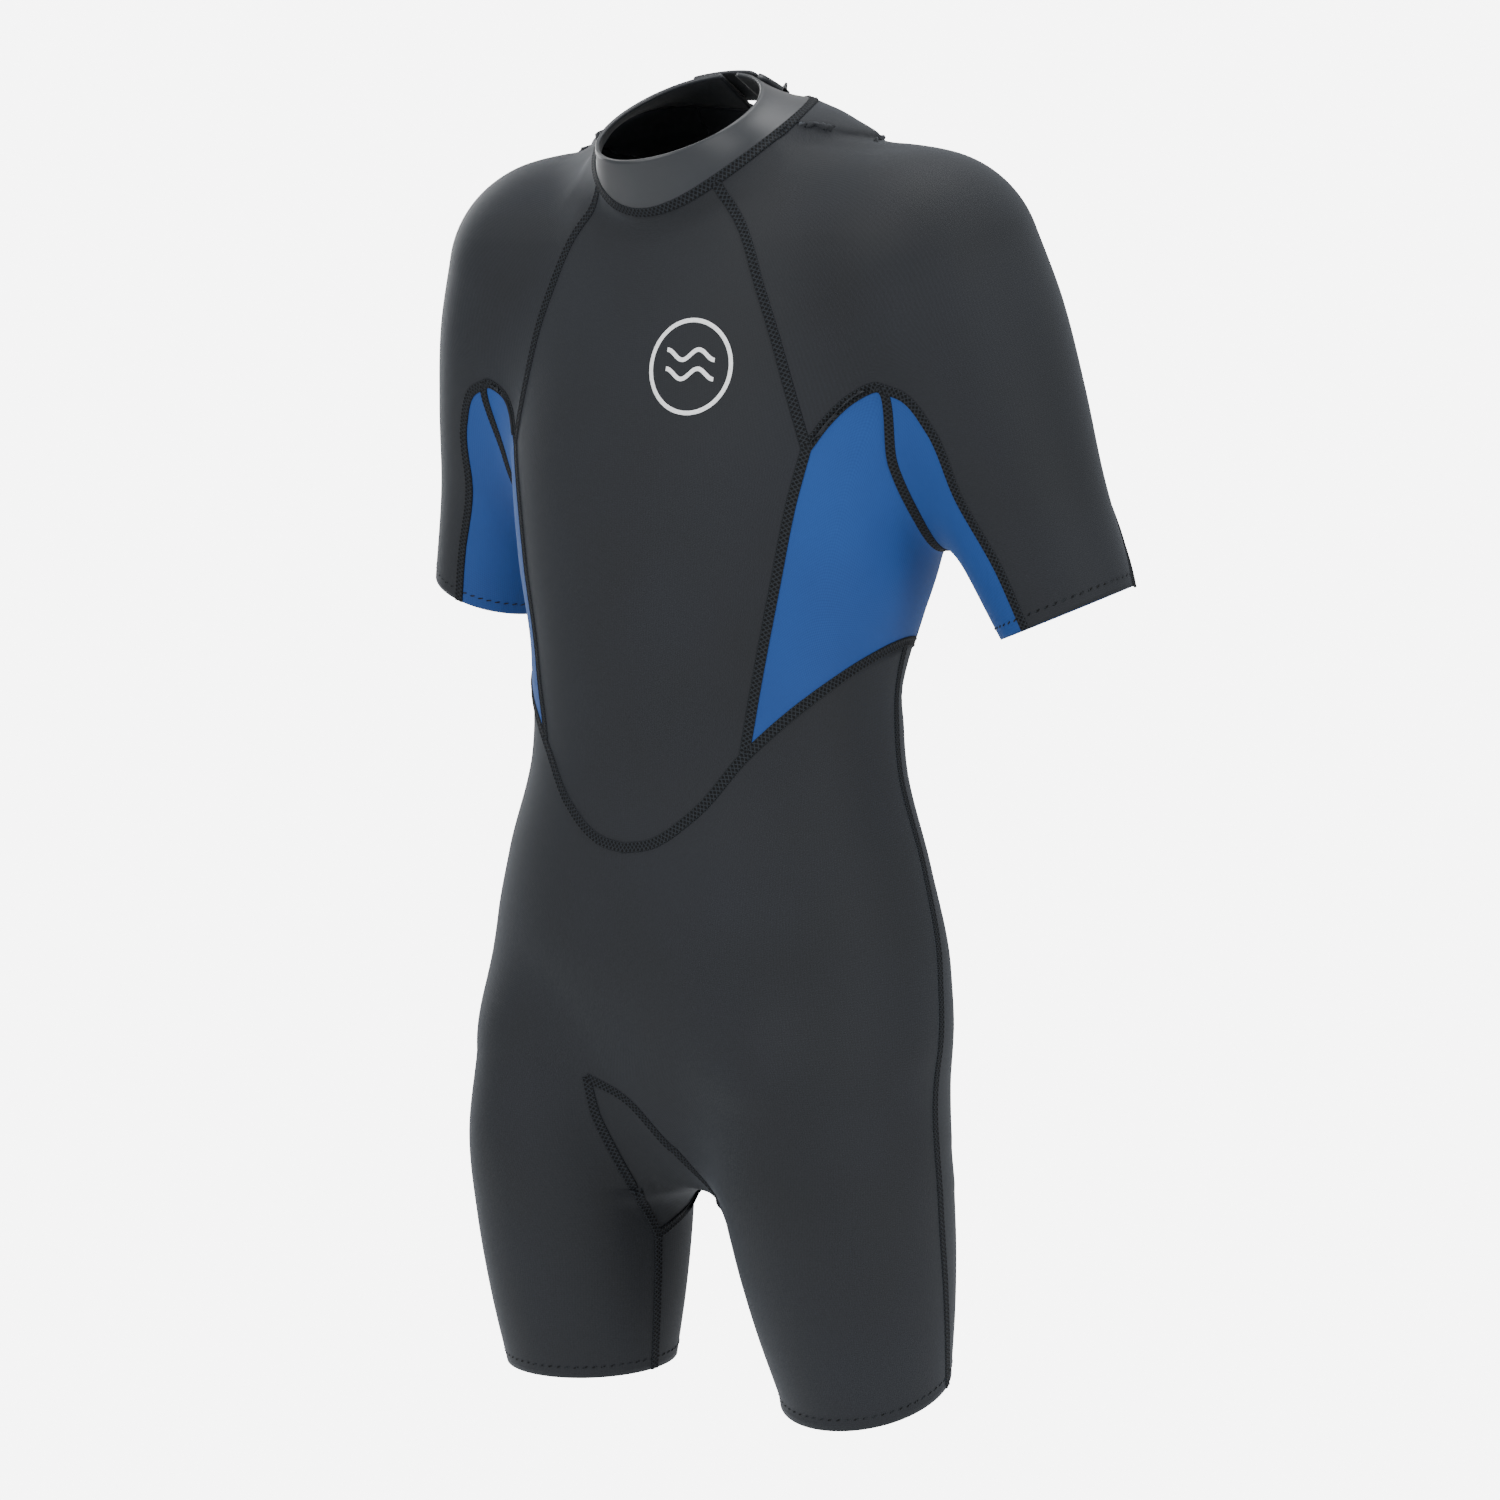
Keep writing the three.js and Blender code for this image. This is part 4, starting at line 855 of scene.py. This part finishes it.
def stitches(name, ring, way):
    """Short thread stitches round a hem: one small rounded bar, repeated at even steps with a slant."""
    length = np.linalg.norm(np.diff(ring, axis=0), axis=1).sum()
    path = even(project(ring + way * STITCH_ABOVE), int(length / STITCH_PITCH))[:-1]
    along = np.roll(path, -1, 0) - np.roll(path, 1, 0)
    along /= np.linalg.norm(along, axis=1, keepdims=True)
    normal = facing(path)
    rise = np.cross(normal, along)
    slant = along * 0.94 + rise * 0.34
    aside = np.cross(normal, slant)
    t = np.linspace(-1, 1, 6)
    a = np.linspace(0, 2 * math.pi, 7)[:-1]
    thin = np.sqrt(np.maximum(1 - t ** 4, 0.02))
    bar = np.stack([np.broadcast_to(STITCH_HALF * t[:, None], (6, 6)), 0.55 * thin[:, None] * np.cos(a),
                    0.4 * thin[:, None] * np.sin(a)], -1)
    frames = np.stack([slant, aside, normal], 1)
    verts = (path[:, None] + 0.1 * normal[:, None] + bar.reshape(1, -1, 3) @ frames).reshape(-1, 3)
    ring_of = np.arange(36).reshape(6, 6)
    beside = np.roll(ring_of, -1, 1)
    side = np.stack([ring_of[:-1], beside[:-1], beside[1:], ring_of[1:]], -1).reshape(-1, 4)
    end = np.array([[5, 4, 3, 2], [5, 2, 1, 0]])
    faces = np.concatenate([side, end, 30 + end[:, ::-1]])
    faces = (faces[None] + 36 * np.arange(len(path))[:, None, None]).reshape(-1, 4)
    return build(name, verts, faces, verts[:, :2], seam_thread)


for word, s in (("left", 1), ("right", -1)):
    ring, way = cuff_ring * [s, 1, 1], arm_way * [s, 1, 1]
    cloth("sleeve_turning_" + word, [band_grid(ring, way)], charcoal_jersey,
          ["sleeve_hem_" + word], ["sleeve_" + word], thick=HEM_THICK)
    stitches("sleeve_hem_stitches_" + word, ring, way)
    ring = line([on_hem(s, t) for t in np.linspace(0, 360, 37)], 141)
    way = (THIGH[s] - HEM[s]) / np.linalg.norm(THIGH[s] - HEM[s])
    cloth("leg_turning_" + word, [band_grid(ring, way)], charcoal_jersey,
          ["leg_hem_" + word], ["lower_front"], thick=HEM_THICK)
    stitches("leg_hem_stitches_" + word, ring, way)


# ------------------------------------------------------------------------------------------ zip
# A coarse moulded zip, 380 mm long, on woven tapes sewn behind the slot, with a foam flap behind it. The
# teeth are plastic, and the slider and its pull are cast metal.

def woven_tape(tree):
    uv = add(tree, "UVMap", uv_map="Cloth").outputs["UV"]
    warp = add(tree, "TexWave", {"Vector": uv, "Scale": WAVE / 0.0012}, bands_direction="X")
    weft = add(tree, "TexWave", {"Vector": uv, "Scale": WAVE / 0.0014}, bands_direction="Y")
    weave = add(tree, "Math", {0: warp.outputs["Fac"], 1: weft.outputs["Fac"]}, operation="MULTIPLY")
    relief = add(tree, "Bump", {"Height": weave.outputs[0], "Strength": 0.6, "Distance": 0.0002})
    return {"Base Color": colours(tree, weave.outputs[0], [(0.0, "#121417"), (1.0, "#24272C")]),
            "Normal": relief.outputs["Normal"]}


def clouded(scale, detail, shades, strength, depth, rough=None):
    """A plain stuff whose colour, relief and roughness all vary with one noise."""
    def make(tree):
        place = add(tree, "TexCoord").outputs["Object"]
        cloud = add(tree, "TexNoise", {"Vector": place, "Scale": scale, "Detail": detail}).outputs["Fac"]
        relief = add(tree, "Bump", {"Height": cloud, "Strength": strength, "Distance": depth})
        made = {"Base Color": colours(tree, cloud, shades), "Normal": relief.outputs["Normal"]}
        if rough:
            spread = add(tree, "MapRange", {"Value": cloud, "To Min": rough[0], "To Max": rough[1]})
            made["Roughness"] = spread.outputs[0]
        return made
    return make


zip_tape = surface("woven_polyester_tape", woven_tape, **{"Roughness": 0.75, "Sheen Weight": 0.2})
moulded = clouded(160.0, 3.0, [(0.3, "#15171A"), (0.7, "#1E2125")], 0.2, 0.0002, (0.3, 0.5))
zip_plastic = surface("moulded_acetal", moulded, **{"IOR": 1.48})
plated = clouded(420.0, 4.0, [(0.3, "#8A8F96"), (0.7, "#A6ABB1")], 0.15, 0.0002, (0.24, 0.42))
zip_metal = surface("cast_zinc_nickel_plated", plated, **{"Metallic": 1.0})
ZIP_FOOT, ZIP_HEAD = 500.0, 882.0  # heights of its ends
FOOT_ANGLE, HEAD_ANGLE = (math.asin((z - ZIP_Z) / ZIP_RADIUS) for z in (ZIP_FOOT, ZIP_HEAD))
ZIP_LENGTH = ZIP_RADIUS * (HEAD_ANGLE - FOOT_ANGLE)
FLAP_HALF, FLAP_FACE, FLAP_THICK, TAPE_FACE, TAPE_THICK = 33.0, -4.4, 2.0, -3.2, 0.7
TEETH_PITCH = 2.6


def zip_at(x, run, height):
    """A place by the zip: run millimetres up the arc from its foot, and a height out from the arc."""
    angle = FOOT_ANGLE + np.asarray(run) / ZIP_RADIUS
    x, height, angle = np.broadcast_arrays(x, height, angle)
    reach = ZIP_RADIUS + height
    return np.stack([x, ZIP_Y + reach * np.cos(angle), ZIP_Z + reach * np.sin(angle)], -1)


def from_zip(points):
    """Directions out from the zip's arc."""
    away = (points - [0, ZIP_Y, ZIP_Z]) * [0, 1, 1]
    return away / np.linalg.norm(away, axis=-1, keepdims=True)


def zip_grid(x_from, x_to, height, columns, margin=1.0):
    x, run = np.meshgrid(np.linspace(x_from, x_to, columns), np.linspace(margin, ZIP_LENGTH - margin, 121),
                         indexing="ij")
    return zip_at(x, run, height)


cloth("zip_flap_cloth", [zip_grid(-FLAP_HALF, FLAP_HALF, FLAP_FACE, 25)], charcoal_jersey,
      ["zip_flap"], ["back_left", "back_right"], thick=FLAP_THICK, out=from_zip)
TOOTH = np.array([[0.3, -1.1, -1.6], [3.6, -0.75, -1.6], [3.6, 0.75, -1.6], [0.3, 1.1, -1.6],
                  [-1.2, -0.5, -1.0], [-1.2, 0.5, -1.0], [-1.0, -0.45, 0.9], [-1.0, 0.45, 0.9],
                  [0.5, -0.85, 1.35], [3.2, -0.6, 1.2], [3.2, 0.6, 1.2], [0.5, 0.85, 1.35]])
TOOTH_FACES = np.array([[8, 9, 10, 11], [6, 8, 11, 7], [4, 6, 7, 5], [0, 8, 6, 4], [3, 5, 7, 11],
                        [0, 1, 9, 8], [1, 2, 10, 9], [2, 3, 11, 10], [0, 3, 2, 1], [0, 4, 5, 3]])
for word, s in (("left", 1), ("right", -1)):
    cloth("tape_" + word, [zip_grid(s * 1.0, s * 16.0, TAPE_FACE, 9)], zip_tape,
          ["zip_tape_" + word], ["back_" + word], thick=TAPE_THICK, out=from_zip)
    runs = np.arange(5 + (s < 0) * TEETH_PITCH / 2, ZIP_LENGTH - 5, TEETH_PITCH)
    x, run, height = TOOTH.T
    verts = zip_at(s * x[None], runs[:, None] + run[None], height[None] - 0.2).reshape(-1, 3)
    order = TOOTH_FACES if s < 0 else TOOTH_FACES[:, ::-1]
    faces = (order[None] + 12 * np.arange(len(runs))[:, None, None]).reshape(-1, 4)
    teeth = build("teeth_" + word, verts, faces, verts[:, [0, 2]], zip_plastic, sharp=30)
    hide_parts("zip_teeth_" + word)
    edge = zip_at(s * (SLOT + 3.2), np.linspace(2, ZIP_LENGTH - 2, 240), 0)
    ribbon("slot_topstitch_" + word, [edge], FLATLOCK * [0.28, 0.45], seam_thread, [])

for node, finish in (("zip_slider", zip_metal), ("zip_pull", zip_metal), ("zip_top_stop_left", zip_plastic),
                     ("zip_top_stop_right", zip_plastic), ("zip_bottom_stop", zip_plastic)):
    held = bpy.data.objects[node]
    held.data.materials.clear()
    held.data.materials.append(finish)


# ------------------------------------------------------------------------------------------ collar closure
# A tab of the collar's own foam, sewn on one side of the opening, crosses it and is held by hook on its
# underside and loop on the collar.

fuzz = clouded(1100.0, 3.0, [(0.35, "#121417"), (0.7, "#2A2D32")], 1.0, 0.0006)
hook_and_loop = surface("nylon_hook_and_loop", fuzz, **{"Roughness": 0.85, "Sheen Weight": 0.4})


def collar_behind(x, run, height):
    """A place behind the neck: x across, run up the collar, and a height off it."""
    y, z, half, deep, rise = collar_ring(run)
    back = deep * np.sqrt(1 - (x / half) ** 2)
    turned = x ** 2 / (x ** 2 + back ** 2)
    on = np.stack([x, y + back, z + back * math.tan(math.radians(RIM_LEAN)) + rise * turned], -1)
    du, dv = np.gradient(on, axis=0), np.gradient(on, axis=1)
    out = np.cross(du, dv)
    out /= np.linalg.norm(out, axis=-1, keepdims=True)
    return on + np.where(out[..., 1:2] > 0, out, -out) * height


def strap(name, x_from, x_to, low, high, face, thick, finish, node, rests_on, body, rounding=5.0):
    """A strip on the collar: an x and run grid that narrows by a quarter circle at each end."""
    u, v = np.meshgrid(np.linspace(0, 1, 41), np.linspace(0, 1, 21), indexing="ij")
    long = abs(x_to - x_from)
    corner = np.maximum(1 - np.minimum(u, 1 - u) * long / rounding, 0)
    narrow = 1 - 0.42 * (1 - np.sqrt(1 - np.minimum(corner, 1) ** 2))
    run = (low + high) / 2 + (high - low) * (v - 0.5) * narrow
    grid = collar_behind(x_from + (x_to - x_from) * u, run, face)
    behind = lambda points: np.tile([0.0, 0.49, 0.87], (len(points), 1))
    return cloth(name, [grid], finish, [node], rests_on, thick=thick, out=behind, body=body)


strap("tab_cloth", -31, 19.7, 0.1, 0.9, 4.7, 2.0, smooth_lining, "collar_tab",
      ["collar_cloth"], "tab")
strap("tab_root_cloth", 20, 31, 0.14, 0.86, 4.7, 4.2, smooth_lining, "collar_tab_root",
      [], "suit", 3.0)
strap("hook_cloth", -28, -10, 0.16, 0.84, 2.4, 0.9, hook_and_loop, "collar_hook_patch",
      ["tab_cloth"], "tab", 2.0)
strap("loop_cloth", -30, -10, 0.14, 0.86, 1.2, 0.9, hook_and_loop, "collar_loop_patch",
      ["collar_cloth"], "suit", 2.0)


# ------------------------------------------------------------------------------------------ badge
# A plain ring with two waves, screen printed in white on the wearer's left chest. The ink lies on the knit.

ink = clouded(700.0, 3.0, [(0.3, "#DDE0E3"), (0.6, "#F1F2F3")], 0.3, 0.0001)
white_print = surface("white_plastisol_ink", ink, **{"Roughness": 0.5, "IOR": 1.5})
BADGE_RADIUS, BADGE_LINE, BADGE_PROUD, WAVE_HALF, WAVE_RISE = 31.5, 3.0, 0.22, 19, 3.5
badge_middle = project(np.array([46.0, -95, 715]))
badge_out = facing(badge_middle[None])[0]
badge_right = np.cross([0, 0, 1], badge_out)
badge_right /= np.linalg.norm(badge_right)
badge_up = np.cross(badge_out, badge_right)
INK = np.array([[-0.5, -0.3], [-0.5, 0.6], [-0.4, 1], [0, 1], [0.4, 1], [0.5, 0.6], [0.5, -0.3]])


def drawn(across, up):
    """Marks in the badge's own plane, laid on the chest."""
    across, up = np.asarray(across)[:, None], np.asarray(up)[:, None]
    return project(badge_middle + badge_right * across + badge_up * up)


a = np.linspace(0, 2 * math.pi, 145)
PRINT = INK * [BADGE_LINE, BADGE_PROUD]
ribbon("badge_ring_print", [drawn(BADGE_RADIUS * np.sin(a), BADGE_RADIUS * np.cos(a))], PRINT,
       white_print, ["badge_ring"])
x = np.linspace(-WAVE_HALF, WAVE_HALF, 60)
for name, height in (("upper", 8), ("lower", -5)):
    wave = drawn(x, height + WAVE_RISE * np.sin(x / WAVE_HALF * math.pi * 1.5))
    ribbon("badge_wave_print_" + name, [wave], PRINT, white_print, ["badge_wave_" + name])


# ------------------------------------------------------------------------------------------ studio
# A white room with large soft lights, and a long lens at chest height to the wearer's left front.

PAPER_SEEN, PAPER_LIGHT = 7.0, 0.55  # as bright as the lens sees it, and as it lights the suit


def shown_white(tree, lit):
    """The paper glows white to the lens alone, so that the dark suit is lit by the lamps and not by it."""
    ray = add(tree, "LightPath").outputs["Is Camera Ray"]
    white = {"Color": linear("#FFFFFF")}
    seen = add(tree, "Emission" if lit else "Background", {**white, "Strength": PAPER_SEEN})
    other = lit or add(tree, "Background", {**white, "Strength": PAPER_LIGHT})
    return add(tree, "MixShader", {0: ray, 1: other.outputs[0], 2: seen.outputs[0]}).outputs[0]


white_paper = bpy.data.materials.new("white_paper")
white_paper.use_nodes = True
white_paper.node_tree.nodes.clear()
matt = add(white_paper.node_tree, "BsdfDiffuse", {"Color": linear("#F2F3F4")})
add(white_paper.node_tree, "OutputMaterial", {"Surface": shown_white(white_paper.node_tree, matt)})
FLOOR = -0.30
mesh = bpy.data.meshes.new("floor")
mesh.from_pydata([(-9, -9, FLOOR), (9, -9, FLOOR), (9, 9, FLOOR), (-9, 9, FLOOR)], [], [(0, 1, 2, 3)])
mesh.materials.append(white_paper)
floor = bpy.data.objects.new("floor", mesh)
bpy.context.collection.objects.link(floor)

world = bpy.data.worlds.new("studio")
world.use_nodes = True
world.node_tree.nodes.clear()
add(world.node_tree, "OutputWorld", {"Surface": shown_white(world.node_tree, None)})
bpy.context.scene.world = world


def soft_light(name, place, aim, size, power):
    data = bpy.data.lights.new(name, "AREA")
    data.shape, data.size, data.size_y, data.energy = "RECTANGLE", size[0], size[1], power
    light = bpy.data.objects.new(name, data)
    light.location = place
    way = mathutils.Vector(aim) - mathutils.Vector(place)
    light.rotation_euler = way.to_track_quat("-Z", "Y").to_euler()
    bpy.context.collection.objects.link(light)


soft_light("key", (-0.2, -2.6, 2.3), (0, 0, 0.6), (1.4, 1.4), 70)
soft_light("side", (2.9, -0.4, 1.4), (0, 0, 0.5), (0.9, 1.8), 45)
soft_light("far_side", (-2.4, 0.9, 1.5), (0, 0, 0.5), (0.9, 1.8), 40)
soft_light("top", (0.2, 0.3, 2.9), (0, 0, 0.5), (1.4, 1.4), 40)

AZIMUTH, DISTANCE, HEIGHT = math.radians(38), 3.0, 0.740
FRAME, FOCAL, AXIS_X, HORIZON = 1500, 4293, 719, 328  # the frame's side, and the lens in the same steps
pitch, yaw = math.atan((FRAME / 2 - HORIZON) / FOCAL), math.atan((FRAME / 2 - AXIS_X) / FOCAL)
ahead = np.array([-math.sin(AZIMUTH), math.cos(AZIMUTH), 0])
right = np.array([math.cos(AZIMUTH), math.sin(AZIMUTH), 0])
ahead, right = (ahead * math.cos(yaw) + right * math.sin(yaw), right * math.cos(yaw) - ahead * math.sin(yaw))
up = np.array([0, 0, math.cos(pitch)]) + ahead * math.sin(pitch)
ahead = ahead * math.cos(pitch) - np.array([0, 0, math.sin(pitch)])
camera = bpy.data.objects.new("camera", bpy.data.cameras.new("camera"))
camera.data.sensor_width, camera.data.lens = 36, 36 * FOCAL / FRAME
camera.data.clip_end = 60
camera.matrix_world = mathutils.Matrix([[*row, place] for row, place in zip(
    np.stack([right, up, -ahead], 1).tolist(),
    (DISTANCE * math.sin(AZIMUTH), -DISTANCE * math.cos(AZIMUTH), HEIGHT))] + [[0, 0, 0, 1]])
bpy.context.collection.objects.link(camera)
bpy.context.scene.camera = camera
